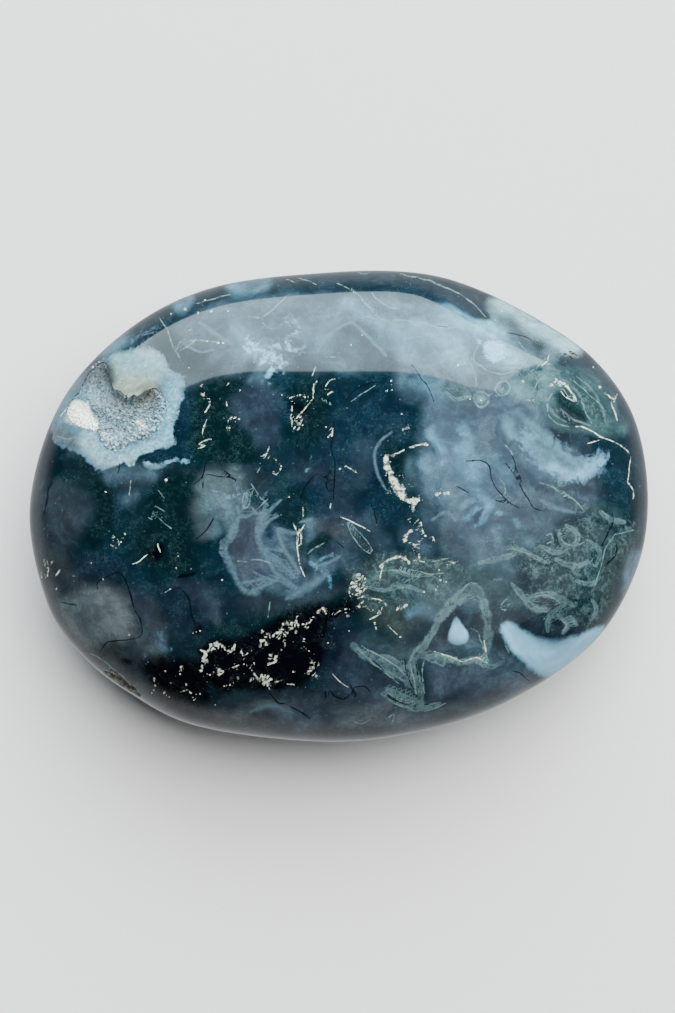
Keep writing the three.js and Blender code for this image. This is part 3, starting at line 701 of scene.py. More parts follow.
BRIGHT_PATCHES = [  # radius, softness, points
    (0, 1.4, [(106, 356), (124, 348), (142, 345), (160, 350), (168, 360), (172, 369), (185, 376), (186, 390),
        (181, 408), (178, 420), (173, 428), (176, 438), (175, 447), (161, 450), (149, 453), (139, 457),
        (135, 466), (129, 467), (124, 464), (101, 472), (87, 463), (78, 454), (56, 446), (49, 430),
        (53, 412), (66, 392), (80, 374), (98, 361)]),
    (2.9, 1.5, [(143, 461), (151, 466), (162, 465), (174, 460), (188, 462)]),
    (3.6, 4, [(128, 342), (140, 335), (156, 330)]), (2.5, 3.5, [(140, 346), (150, 338)]),
    (2.4, 2.2, [(436, 655), (450, 658), (464, 663)]), (3, 2.2, [(466, 662), (478, 658), (488, 662)]),
    (1.6, 2, [(484, 640), (487, 652)]), (3, 2.5, [(474, 337), (480, 342)]), (2, 3, [(452, 640), (470, 646)]),
    (0, 4.5, [(524, 424), (545, 431), (558, 437), (570, 446), (584, 453), (600, 446), (613, 461), (600, 478),
        (584, 485), (566, 487), (550, 480), (534, 468), (520, 452), (516, 436)]),
    (0, 2.6, [(480, 350), (486, 340), (498, 338), (508, 346), (510, 356), (498, 364), (486, 361)]),
    (4, 4.5, [(466, 340), (470, 347)]), (6, 6, [(292, 318), (300, 330), (296, 338)]),
    (6.5, 6, [(244, 346), (258, 356)]), (5, 5, [(266, 346), (292, 344)]), (9, 6, [(272, 360), (280, 364)]),
    (4, 4, [(269, 370), (269, 380)]), (5, 6, [(300, 350), (306, 344)]), (3, 3, [(286, 320), (300, 336)]),
    (4.5, 3.5, [(246, 338), (262, 352)]), (3.5, 3, [(288, 352), (308, 346)]),
    (3, 3, [(258, 366), (268, 358)]), (2.6, 3, [(322, 318), (336, 312)]), (4, 5, [(310, 328), (314, 336)]),
    (3.2, 2.6, [(211, 485), (219, 495), (231, 497), (242, 489)]), (3, 2.4, [(311, 562), (320, 572)]),
    (3.2, 2.4, [(322, 559), (333, 555)]), (2.2, 1.8, [(326, 562), (329, 576), (331, 589)]),
    (2, 1.8, [(247, 493), (247, 498)]), (2.2, 3, [(222, 504), (229, 513)]), (6, 5, [(476, 494), (484, 503)]),
    (2.4, 2.6, [(484, 505), (482, 518), (475, 526)]), (2.2, 2.4, [(472, 500), (462, 506)]),
    (2.2, 2.4, [(476, 508), (467, 519)]), (4, 4, [(460, 430), (466, 436)]),
    (4, 4.5, [(462, 474), (470, 478)]), (3.5, 4.5, [(510, 428), (520, 438)]),
    (2, 2.6, [(456, 486), (466, 490)]), (3.5, 4, [(440, 462), (450, 470)]),
    (1.6, 2, [(496, 513), (500, 515)]),
    (0, 2.6, [(562, 338), (572, 332), (579, 342), (578, 354), (566, 357), (556, 350)]),
    (3, 4, [(502, 312), (516, 318)]), (2.4, 2.2, [(480, 563), (496, 560), (512, 556)]),
    # Painted highlight: the second patch on the next line paints a soft light spot.
    (1.8, 2, [(492, 580), (502, 579)]), (3, 4, [(409, 611), (420, 605)]), (1.8, 2, [(306, 470), (309, 466)]),
    (1.6, 2.2, [(310, 458), (311, 463)]), (2, 2.4, [(249, 495), (250, 500)]),
    (1.8, 1.6, [(260, 502), (267, 493)]), (4, 3.6, [(160, 632), (163, 644), (153, 650)]),
    (2, 2.4, [(150, 652), (138, 659)]), (2.5, 2.4, [(160, 647), (171, 649)]),
]
MILK_PATCHES = [  # radius, softness, points
    (0, 1.5, [(456, 616), (463, 626), (469, 635), (466, 643), (456, 645), (448, 640), (450, 630)]),
    (0, 3.4, [(501, 626), (508, 622), (515, 625), (526, 632), (540, 638), (558, 640), (580, 635), (604, 626),
        (594, 656), (566, 678), (544, 678), (524, 662), (509, 646)]),
]
BRIGHT_STROKES = [  # pigment, strength, radius, softness, points
    ("shell", 1, 60, 10, [(118, 410)]), ("ice", 0.8, 30, 10, [(270, 355)]), ("ice", 1, 18, 8, [(492, 350)]),
    ("ice", 0.72, 14, 8, [(508, 630), (530, 652), (560, 660), (596, 640)]),
    ("ice", 0.9, 10, 6, [(458, 632)]), ("puff", 0.7, 10, 6, [(220, 494), (240, 492)]),
    ("puff", 0.6, 12, 6, [(318, 565), (328, 580)]),
    ("chalk", 0.95, 0, 9, [(108, 352), (124, 346), (142, 344), (160, 350), (167, 366), (160, 384),
        (145, 394), (122, 394), (112, 384)]),
    ("cream", 0.9, 0, 7, [(112, 364), (122, 374), (140, 377), (158, 378), (152, 394), (136, 401), (122, 400),
        (108, 390)]),
    # Painted shade: the two brown strokes below lie along the ledge's lower edge, where the shade under the
    # overhang falls.
    ("ledge_shade_brown", 0.6, 2, 2, [(118, 386), (128, 392), (142, 388), (152, 382)]),
    ("ledge_shade_brown", 0.8, 2.5, 3, [(142, 392), (156, 386), (162, 398)]),
    ("ice", 0.6, 5, 7, [(172, 390), (170, 412), (164, 432)]),
    ("frost", 0.95, 9, 8, [(90, 440), (104, 452), (130, 456), (150, 448), (170, 438)]),
    ("frost", 0.6, 6, 6, [(174, 382), (176, 408), (170, 434)]),
    ("slate", 0.9, 0, 6, [(90, 362), (104, 358), (114, 366), (114, 380), (104, 392), (88, 392), (80, 384)]),
    ("glass", 0.9, 0, 7, [(84, 380), (104, 386), (110, 405), (94, 412), (76, 402), (70, 396)]),
    ("ash", 0.95, 0, 5, [(44, 430), (62, 424), (76, 432), (82, 446), (78, 454), (60, 444), (46, 440)]),
    ("bone", 0.8, 7, 6, [(88, 442), (96, 452)]), ("bone", 0.6, 6, 6, [(100, 462), (132, 458)]),
    # Painted highlight: the white patch on the next two lines is the glare of a whitish flat facet at the
    # hollow's left edge.
    ("glare_white", 1, 0, 1.6, [(67, 417), (69, 408), (75, 403), (83, 403), (88, 409), (90, 416), (96, 422),
        (94, 430), (84, 429), (75, 423)]),
    ("mist", 0.6, 3, 3, [(156, 640), (140, 658)]), ("mist", 0.75, 6, 4, [(163, 634), (163, 648)]),
    ("chalk", 0.9, 12, 4, [(566, 345)]), ("ice", 0.7, 9, 8, [(270, 358), (290, 330)]),
    ("ice", 0.6, 5, 5, [(600, 462), (575, 478), (552, 468)]),
    ("ice", 0.5, 4, 5, [(508, 632), (516, 648), (540, 654)]), ("frost", 0.6, 5, 3, [(146, 464), (188, 462)]),
    ("haze", 0.8, 5, 3, [(478, 563), (514, 556)]),
    ("mist", 0.7, 0, 6, [(98, 352), (112, 342), (142, 336), (166, 342), (174, 360), (160, 355), (142, 350),
        (120, 354)]),
    ("pale", 1, 7, 4, [(434, 655), (464, 662), (490, 660)]), ("puff", 0.75, 12, 8, [(440, 464), (464, 432)]),
    ("puff", 0.55, 14, 8, [(468, 474), (478, 498), (466, 518)]),
    ("haze", 0.9, 5, 4, [(160, 632), (163, 646), (152, 652)]), ("puff", 0.7, 9, 7, [(510, 428), (522, 440)]),
    ("ice", 0.12, 14, 8, [(536, 444), (562, 462), (598, 464)]),
    ("puff", 0.6, 7, 6, [(534, 470), (548, 480)]),
    ("mist", 0.5, 2.5, 3, [(538, 444), (556, 457), (570, 471)]),
    ("mist", 0.45, 2, 3, [(566, 450), (580, 463)]), ("mist", 0.5, 3, 3, [(546, 470), (563, 478)]),
]
SAGE_PATCHES = [  # radius, softness, points
    (0, 7, [(350, 575), (375, 563), (410, 557), (445, 561), (466, 576), (452, 592), (430, 606), (400, 606),
        (372, 604)]),
    (0, 7, [(520, 558), (548, 540), (580, 520), (612, 520), (636, 532), (618, 552), (606, 572), (606, 600),
        (588, 622), (560, 612), (548, 590), (528, 580)]),
    (5, 5, [(510, 545), (530, 553), (545, 562)]), (5, 6, [(548, 482), (566, 494), (580, 508)]),
    (4, 3, [(516, 590), (524, 602), (540, 608)]), (4, 3, [(530, 597), (548, 594), (572, 604)]),
    (3.5, 3, [(548, 630), (553, 614), (566, 610)]), (7, 6, [(556, 372), (580, 395), (604, 415)]),
    (6, 7, [(446, 386), (470, 392)]), (5, 5, [(520, 372), (536, 384), (540, 402)]),
    (3, 3, [(548, 356), (544, 366), (532, 372)]),
]
MOSS_PATCHES = [  # radius, softness, points
    (0, 6, [(198, 392), (215, 381), (240, 378), (232, 396), (232, 414), (246, 432), (254, 450), (236, 462),
        (210, 460), (194, 446)]),
    (0, 6, [(292, 396), (306, 384), (330, 384), (328, 416), (310, 440), (294, 430)]),
    (0, 6, [(150, 500), (168, 478), (184, 474), (190, 500), (192, 540), (190, 566), (160, 570), (136, 548)]),
    (0, 5, [(60, 460), (88, 460), (110, 490), (108, 528), (90, 540), (98, 500), (80, 476)]),
    (0, 3, [(312, 541), (323, 534), (333, 538), (325, 546), (315, 552), (307, 560), (305, 550)]),
    (0, 4, [(178, 352), (192, 347), (213, 353), (206, 361), (190, 364)]),
    (0, 4, [(555, 396), (566, 392), (574, 404), (590, 420), (574, 426), (560, 414)]),
    (0, 3, [(531, 340), (540, 342), (541, 352), (534, 350)]), (3, 3, [(545, 570), (552, 572)]),
    (5, 5, [(606, 512), (612, 525), (604, 540)]), (5, 5, [(240, 376), (252, 366)]),
    (0, 5, [(384, 445), (400, 446), (406, 460), (404, 478), (396, 484), (388, 468)]),
    (4, 5, [(340, 602), (356, 600)]),
]
NIGHT_PATCHES = [  # radius, softness, points
    (0, 5, [(198, 648), (214, 640), (238, 640), (250, 632), (276, 618), (306, 606), (330, 604), (352, 600),
        (354, 612), (330, 626), (322, 650), (318, 668), (306, 682), (284, 688), (256, 690), (226, 690),
        (200, 680)]),
    (0, 9, [(140, 664), (168, 656), (200, 662), (212, 690), (196, 706), (168, 700), (150, 686)]),
    (4.5, 3, [(152, 553), (160, 549), (156, 558)]), (1.6, 1.5, [(178, 576), (187, 573), (195, 571)]),
    (3, 3, [(125, 661), (128, 663)]), (2, 2, [(388, 696), (394, 699)]), (1.2, 1.4, [(352, 691), (354, 696)]),
    (4, 6, [(294, 404), (304, 412)]), (3, 3, [(197, 626), (196, 632)]),
]
CREAM_LINES = [  # width, points
    (1.2, [(209, 399), (210, 405), (205, 413)]), (1.1, [(208, 418), (204, 428), (202, 436)]),
    (1.1, [(199, 444), (205, 440), (211, 438)]), (1, [(197, 449), (205, 446)]),
    (0.9, [(199, 387), (204, 383)]), (0.9, [(226, 387), (230, 381)]), (0.9, [(226, 400), (227, 406)]),
    (1.2, [(228, 420), (233, 416)]), (1, [(312, 376), (316, 366)]),
    (1.2, [(318, 380), (314, 386), (313, 400)]), (1.2, [(310, 403), (305, 408), (297, 417)]),
    (1, [(292, 406), (292, 412)]), (1.2, [(291, 416), (293, 427), (298, 430), (303, 424)]),
    (0.9, [(325, 388), (330, 381), (336, 379)]), (1.1, [(327, 395), (333, 391)]),
    (0.9, [(289, 398), (296, 396)]), (0.9, [(260, 455), (264, 458), (270, 446)]),
    (0.8, [(333, 427), (332, 437)]), (1.2, [(331, 502), (330, 509)]), (1.1, [(303, 507), (303, 516)]),
    (0.9, [(345, 466), (352, 470), (358, 473)]), (0.9, [(340, 516), (350, 521), (362, 527), (371, 532)]),
    (0.9, [(272, 472), (276, 475), (281, 470)]), (1.2, [(427, 443), (418, 445), (409, 448)]),
    (1.2, [(404, 450), (396, 454)]), (5.7, [(386, 456), (387, 467), (391, 476)]),
    (8.5, [(392, 478), (397, 487), (404, 497)]), (4.8, [(404, 499), (412, 501), (418, 500)]),
    (1.9, [(413, 504), (413, 511)]), (1.3, [(408, 519), (411, 523)]), (1.2, [(420, 520), (422, 526)]),
    (1.4, [(422, 529), (424, 534)]), (2, [(402, 538), (407, 535), (406, 541)]),
    (1.2, [(411, 529), (408, 534)]), (1.3, [(413, 543), (416, 549)]), (1.2, [(420, 541), (419, 549)]),
    (1.1, [(432, 535), (435, 542)]), (1.1, [(420, 553), (419, 559)]),
    (1.2, [(379, 581), (381, 573), (383, 568)]), (2, [(387, 562), (393, 558), (401, 557), (408, 561)]),
    (1.7, [(379, 567), (384, 563)]), (1.2, [(415, 560), (425, 562)]),
    (1.2, [(447, 560), (452, 564), (459, 560)]),
    (1, [(549, 384), (556, 380), (564, 382), (571, 390), (576, 401)]),
    (1, [(560, 390), (566, 397), (574, 402)]), (1.2, [(575, 427), (586, 428), (600, 436), (611, 441)]),
    (1, [(611, 441), (622, 446), (630, 454)]), (0.9, [(631, 456), (629, 470), (628, 480)]),
    (1.2, [(628, 482), (633, 490), (633, 500)]), (1, [(586, 444), (600, 440)]),
    (1.2, [(611, 402), (615, 412), (618, 421)]), (0.9, [(607, 394), (612, 399)]),
    (0.9, [(617, 394), (614, 402)]), (1.2, [(41, 572), (42, 578)]), (1.2, [(49, 567), (47, 578)]),
    (1.4, [(55, 576), (61, 570), (58, 574)]), (1.1, [(158, 541), (158, 547), (161, 553)]),
    (0.9, [(131, 564), (139, 562), (148, 554)]), (0.9, [(164, 593), (172, 588)]),
    (0.9, [(129, 496), (131, 480)]), (1, [(351, 597), (349, 590), (353, 580)]),
    (1.1, [(353, 578), (360, 574), (366, 580)]), (1, [(352, 594), (362, 597), (368, 597)]),
    (0.9, [(372, 599), (380, 600), (386, 604)]), (1, [(365, 606), (370, 610)]),
    (1.2, [(369, 620), (382, 613)]), (0.9, [(396, 612), (398, 607)]),
    (0.9, [(388, 624), (396, 634), (402, 638)]), (0.9, [(333, 675), (341, 682), (349, 688)]),
    (1.2, [(334, 615), (341, 610)]), (1, [(323, 607), (326, 614)]), (1, [(231, 668), (239, 665)]),
    (1, [(274, 683), (282, 680)]), (0.9, [(283, 648), (287, 645)]),
    (0.9, [(241, 650), (243, 657), (248, 653)]), (1.6, [(287, 684), (295, 685)]),
    (0.9, [(60, 417), (67, 408)]), (1.9, [(200, 650), (207, 654), (204, 660)]),
    (1.2, [(434, 652), (448, 656), (462, 662)]), (1.2, [(464, 662), (476, 658), (488, 663)]),
    (1.2, [(293, 523), (297, 532)]), (1.1, [(305, 524), (300, 532)]),
    (1, [(297, 534), (297, 548), (299, 562)]), (0.9, [(300, 566), (305, 577)]),
    (0.9, [(301, 534), (301, 546)]), (1.2, [(484, 640), (486, 652)]),
    (1, [(556, 378), (566, 386), (574, 396), (577, 404)]), (0.9, [(549, 355), (547, 361)]),
    (1.2, [(541, 366), (549, 360)]),
]
CREAM_DOTS = {  # width: places
    1.0: [(240, 390), (328, 437), (152, 693), (194, 700)],
    1.1: [(199, 676), (224, 686), (285, 643), (309, 651), (244, 664), (254, 663), (296, 633), (267, 645),
        (169, 697), (186, 684), (106, 492), (111, 545), (121, 542), (91, 563), (178, 556), (193, 633),
        (200, 631), (103, 579), (52, 562), (56, 589), (73, 576), (45, 565), (527, 400), (495, 320)],
    1.2: [(239, 419), (282, 395), (305, 397), (391, 381), (386, 391), (392, 390), (326, 427), (281, 466),
        (458, 562), (439, 570), (349, 631), (400, 637), (304, 639), (304, 647), (250, 668), (158, 683),
        (171, 683), (181, 692), (187, 690), (148, 662), (116, 548), (176, 568), (191, 569), (44, 560),
        (470, 399), (593, 367), (189, 368), (351, 345), (502, 311), (99, 362)],
    1.3: [(414, 447), (416, 545), (446, 582), (424, 592), (363, 601), (375, 624), (235, 645), (230, 685),
        (297, 617), (270, 689), (319, 664), (328, 643), (293, 672), (180, 674), (154, 678), (191, 693),
        (215, 705), (222, 580), (481, 400), (503, 389), (205, 300), (218, 343), (207, 341)],
    1.4: [(300, 395), (402, 414), (289, 497), (425, 536), (419, 556), (452, 563), (436, 590), (403, 588),
        (376, 629), (210, 675), (262, 631), (303, 624), (311, 620), (262, 675), (200, 694), (114, 537),
        (533, 400), (171, 314), (228, 311), (362, 335)],
    1.5: [(276, 460), (340, 469), (440, 580), (285, 635), (307, 628), (165, 671), (129, 635)],
    1.6: [(229, 428), (296, 421), (302, 419), (427, 445), (412, 531), (383, 565), (366, 588), (345, 609),
        (125, 534), (523, 381), (555, 382), (223, 343), (93, 367)],
    1.7: [(363, 585), (202, 666), (219, 675), (272, 663), (251, 680), (268, 676), (264, 685)],
    1.8: [(423, 444), (389, 560), (353, 587), (357, 577), (386, 605), (401, 609), (227, 651), (230, 652),
        (238, 678), (267, 634), (264, 640), (273, 636), (296, 621), (276, 662), (254, 674), (312, 661),
        (181, 667), (166, 480), (551, 386), (560, 385), (198, 313), (211, 311), (458, 365)],
    1.9: [(360, 578), (379, 611), (203, 658), (155, 686), (164, 693)],
    2.0: [(397, 556), (409, 563), (355, 583), (361, 592), (214, 649), (209, 650), (205, 654), (223, 672),
        (268, 664), (268, 685), (600, 387)],
    2.1: [(357, 590), (359, 607), (277, 633), (281, 632), (279, 638), (283, 624), (291, 623), (309, 623),
        (270, 655), (257, 678), (260, 681), (267, 682), (271, 679), (310, 668), (308, 673), (316, 676),
        (318, 612), (347, 616)],
    2.2: [(404, 430), (392, 456), (386, 464), (393, 473), (416, 502), (404, 558), (261, 641), (260, 646),
        (298, 625), (185, 309)],
    2.3: [(201, 671)],
    2.4: [(203, 395), (408, 428), (389, 470), (408, 500), (406, 605), (211, 645), (207, 661), (287, 623),
        (292, 628), (264, 679), (323, 608)],
    2.5: [(313, 668)], 2.6: [(385, 458), (401, 492), (404, 541), (222, 646), (219, 670)], 2.7: [(276, 657)],
    2.8: [(391, 482), (397, 486), (437, 494), (217, 643), (233, 649)], 3.0: [(299, 424), (448, 493)],
}
PALE_LINES = [  # width, points
    (1.6, [(159, 317), (168, 331), (174, 349), (181, 360)]),
    (1.5, [(457, 338), (464, 352), (472, 366), (477, 385)]), (1.2, [(297, 277), (308, 281), (317, 285)]),
    (1.2, [(286, 279), (297, 283)]), (1.4, [(337, 283), (348, 288), (358, 296), (368, 306), (381, 319)]),
    (1.2, [(352, 288), (364, 300), (378, 313)]), (1.8, [(372, 293), (380, 301), (390, 308), (399, 309)]),
    (1.5, [(400, 274), (420, 278), (437, 283), (448, 289), (462, 295), (474, 304), (486, 317)]),
    (1.4, [(247, 317), (262, 317), (276, 306), (290, 294)]), (1.2, [(262, 322), (272, 329), (279, 327)]),
    (1.5, [(366, 316), (385, 320), (405, 320), (440, 327)]), (1.2, [(325, 357), (336, 357)]),
    (1.4, [(447, 328), (460, 326), (474, 323)]), (1.3, [(183, 344), (190, 340), (206, 341), (220, 342)]),
    (1.2, [(176, 350), (180, 343), (186, 338)]), (1.2, [(177, 352), (186, 348), (197, 338)]),
    (1.3, [(186, 332), (192, 329)]), (1.3, [(196, 304), (212, 299), (230, 294)]),
    (1.4, [(56, 436), (68, 439), (77, 436)]), (1.2, [(58, 420), (66, 409)]), (1.4, [(237, 561), (248, 562)]),
    (1.5, [(252, 560), (263, 561), (272, 564)]),
    (1.1, [(247, 490), (243, 498), (244, 508), (249, 505), (250, 494), (247, 490)]),
    (1.4, [(308, 554), (316, 547), (326, 542)]), (1.1, [(347, 523), (356, 541), (366, 551), (372, 555)]),
    (1.1, [(350, 522), (362, 535), (370, 545), (373, 553)]), (1.1, [(351, 402), (362, 394), (376, 385)]),
    (1.1, [(152, 513), (162, 521), (172, 529)]), (1, [(147, 517), (153, 520)]),
    (1, [(158, 490), (165, 499)]), (1, [(155, 506), (166, 512)]),
    (1.2, [(508, 547), (520, 551), (534, 556)]), (1.3, [(538, 481), (552, 487), (566, 498)]),
    (1.2, [(500, 478), (505, 488), (504, 495), (499, 495)]), (1.2, [(505, 445), (512, 452), (512, 458)]),
    (1.4, [(561, 490), (575, 500), (583, 510)]), (1.2, [(617, 532), (606, 548), (600, 570), (592, 592)]),
    (1.2, [(634, 530), (618, 534)]), (1.3, [(561, 540), (573, 546), (585, 542)]),
    (1.2, [(545, 537), (551, 533), (553, 541), (547, 544)]), (1.2, [(510, 596), (500, 606), (504, 611)]),
    (1.1, [(512, 600), (505, 612)]), (1.4, [(505, 644), (509, 653)]),
    (1.2, [(530, 597), (546, 595), (560, 603)]), (1.3, [(560, 618), (566, 625), (563, 632)]),
    (1.2, [(570, 616), (576, 626)]), (1.1, [(470, 628), (478, 632), (480, 642)]),
    (1.2, [(430, 562), (450, 558)]), (1.2, [(376, 572), (398, 570), (420, 578)]),
    (1.2, [(400, 566), (430, 574), (446, 572)]), (2.4, [(434, 654), (448, 657), (462, 662)]),
    (2.4, [(466, 664), (476, 659), (488, 664)]), (2, [(480, 640), (485, 650), (488, 662)]),
    (1.6, [(410, 664), (414, 678), (416, 694)]), (1.6, [(424, 660), (422, 676), (425, 694)]),
    (1.5, [(356, 648), (370, 660), (384, 672), (400, 684)]),
    (1.5, [(362, 646), (380, 656), (398, 668), (410, 680)]), (1.5, [(386, 692), (398, 698), (414, 702)]),
    (1.4, [(388, 700), (400, 706), (414, 710)]), (1.4, [(424, 712), (436, 708), (446, 703)]),
    (1.2, [(350, 720), (362, 724), (372, 718)]), (1.3, [(385, 720), (394, 714), (392, 724)]),
    (1.3, [(530, 372), (538, 366), (548, 358)]), (1.2, [(534, 392), (538, 382), (545, 375)]),
    (1.2, [(547, 412), (548, 400), (553, 392)]), (1.3, [(548, 416), (558, 424), (570, 427)]),
    (1.1, [(580, 400), (586, 412), (592, 424)]), (1.1, [(572, 380), (582, 388), (590, 396)]),
    (1.1, [(585, 392), (598, 402), (606, 412)]), (1, [(256, 474), (261, 467)]),
    (1, [(250, 482), (262, 500)]), (1, [(255, 511), (268, 499)]), (1.2, [(80, 652), (96, 656), (112, 668)]),
    (1.2, [(113, 669), (127, 681), (147, 704)]), (1.1, [(322, 398), (323, 402)]),
    (1.1, [(326, 400), (327, 404)]), (1.1, [(330, 402), (331, 406)]), (1.1, [(270, 602), (268, 618)]),
    (1.1, [(357, 272), (364, 274), (371, 272)]),
    (2, [(474, 399), (477, 393), (484, 392), (489, 398), (486, 405), (479, 407), (474, 399)]),
    (2, [(495, 390), (498, 384), (505, 381), (510, 387), (507, 394), (500, 396), (495, 390)]),
    (1.2, [(462, 400), (468, 396), (474, 398)]), (1.2, [(488, 396), (494, 392)]),
    (1.2, [(479, 402), (485, 397)]),
    (1.3, [(478, 345), (474, 358), (486, 370), (506, 374), (522, 366), (528, 354), (518, 342)]),
    (1.4, [(440, 656), (452, 662), (466, 660), (480, 664), (490, 660)]), (1.2, [(444, 661), (458, 657)]),
    (1.2, [(470, 657), (484, 668)]), (1.1, [(462, 590), (470, 582), (476, 584)]),
]
ARMS = [  # width, points
    (10.9, [(438, 620), (450, 606), (462, 595), (474, 586)]),
    (9.4, [(474, 584), (482, 598), (487, 618), (488, 638), (485, 654)]),
    (8.6, [(422, 706), (420, 690), (416, 676), (412, 664), (418, 652), (428, 640), (438, 624)]),
    (9.4, [(354, 646), (362, 654), (376, 660), (390, 670), (404, 678), (416, 690)]),
    (5.5, [(372, 656), (388, 658), (404, 668)]), (6.2, [(416, 654), (428, 658), (442, 664)]),
    (7.8, [(430, 656), (444, 658), (460, 662)]), (7.8, [(458, 664), (472, 660), (486, 664)]),
    (4.7, [(484, 666), (494, 666), (504, 661)]), (6.2, [(384, 694), (398, 702), (412, 708)]),
    (5.5, [(410, 710), (424, 708), (440, 703)]), (3.9, [(386, 688), (402, 694), (416, 702)]),
    (5.5, [(511, 583), (519, 592), (526, 600), (534, 606)]), (6.2, [(526, 604), (537, 609), (547, 610)]),
    (7, [(531, 596), (546, 594), (560, 598), (573, 605)]),
    (6.2, [(478, 563), (490, 561), (504, 557), (515, 554)]),
    (4.7, [(547, 631), (548, 621), (554, 612), (563, 606)]), (4.7, [(559, 616), (567, 624), (563, 633)]),
    (3.9, [(570, 616), (577, 625)]), (6.2, [(556, 560), (574, 566), (588, 562)]),
    (5.5, [(540, 546), (556, 552), (568, 548)]), (4.7, [(508, 546), (520, 550), (534, 556), (546, 562)]),
    (4.7, [(592, 600), (596, 612), (590, 620)]), (4.2, [(366, 586), (384, 590), (404, 586), (424, 592)]),
    (3.6, [(396, 570), (414, 576), (434, 574)]),
    (5.5, [(566, 526), (578, 534), (574, 546), (562, 544), (560, 534)]),
    (4.7, [(590, 540), (600, 552), (596, 566)]), (5.5, [(600, 512), (612, 520), (624, 522)]),
    (4.7, [(576, 580), (590, 584), (600, 578)]), (4.7, [(446, 392), (456, 400), (468, 396)]),
    (2.8, [(534, 356), (546, 366), (560, 372)]), (2.2, [(552, 374), (568, 382), (580, 396), (584, 410)]),
    (2.8, [(546, 380), (545, 396), (552, 412), (566, 422)]),
    (2.2, [(576, 376), (592, 390), (602, 408), (606, 424)]), (2, [(560, 408), (574, 420), (592, 426)]),
    (2.6, [(520, 366), (534, 374), (540, 388), (534, 402)]),
]
RIBBONS = [  # width, points
    (6.5, [(239, 516), (234, 526), (229, 536), (226, 546)]),
    (8, [(226, 544), (226, 554), (230, 564), (235, 576)]),
    (7, [(234, 572), (239, 584), (248, 592), (258, 592)]), (4.5, [(246, 592), (258, 588), (272, 582)]),
    (3.5, [(240, 516), (236, 530), (231, 542)]), (3, [(222, 540), (221, 552), (226, 562)]),
    (6.5, [(275, 505), (264, 516), (259, 530), (261, 546), (268, 560)]),
    (4.5, [(278, 516), (268, 522), (261, 530)]), (4, [(266, 503), (262, 516), (262, 532)]),
    (3.5, [(281, 500), (270, 510)]), (3.5, [(258, 520), (256, 536), (262, 552)]),
    (3.5, [(262, 548), (272, 549), (283, 551)]), (5, [(277, 529), (282, 545), (291, 560), (300, 573)]),
    (5, [(278, 528), (290, 533), (298, 532)]), (8.5, [(287, 599), (300, 592), (314, 584), (326, 574)]),
    (5, [(298, 590), (290, 582), (280, 577)]), (4.5, [(242, 583), (258, 580), (276, 580), (292, 587)]),
    (4.5, [(268, 562), (278, 575), (290, 584)]), (3.5, [(270, 556), (284, 566), (296, 578)]),
    (3, [(254, 572), (264, 578), (276, 579)]), (5, [(222, 498), (229, 506), (226, 518)]),
    (4, [(214, 494), (224, 506), (232, 512)]), (4, [(246, 500), (242, 511)]),
    (3.5, [(236, 506), (243, 517), (252, 514)]), (3, [(252, 508), (258, 514), (266, 510)]),
    (4, [(300, 522), (312, 519)]), (3.5, [(392, 432), (380, 441), (374, 456), (378, 474), (386, 490)]),
    (4, [(448, 372), (470, 366), (520, 366)]), (5, [(540, 500), (556, 508), (574, 512)]),
    (4, [(430, 365), (438, 376)]), (4, [(318, 352), (330, 334), (350, 322)]),
    (4, [(352, 322), (372, 340), (386, 356)]), (4, [(480, 338), (500, 340), (520, 350), (530, 362)]),
    (3, [(186, 345), (200, 352), (214, 350)]), (5, [(200, 322), (216, 334), (232, 344)]),
    (5, [(460, 505), (474, 500)]), (4, [(532, 424), (546, 440)]), (5, [(250, 712), (270, 706), (292, 712)]),
    (4, [(432, 520), (446, 512), (456, 520)]), (5, [(144, 465), (152, 468), (164, 466)]),
    (4, [(318, 566), (330, 562), (340, 556)]),
]
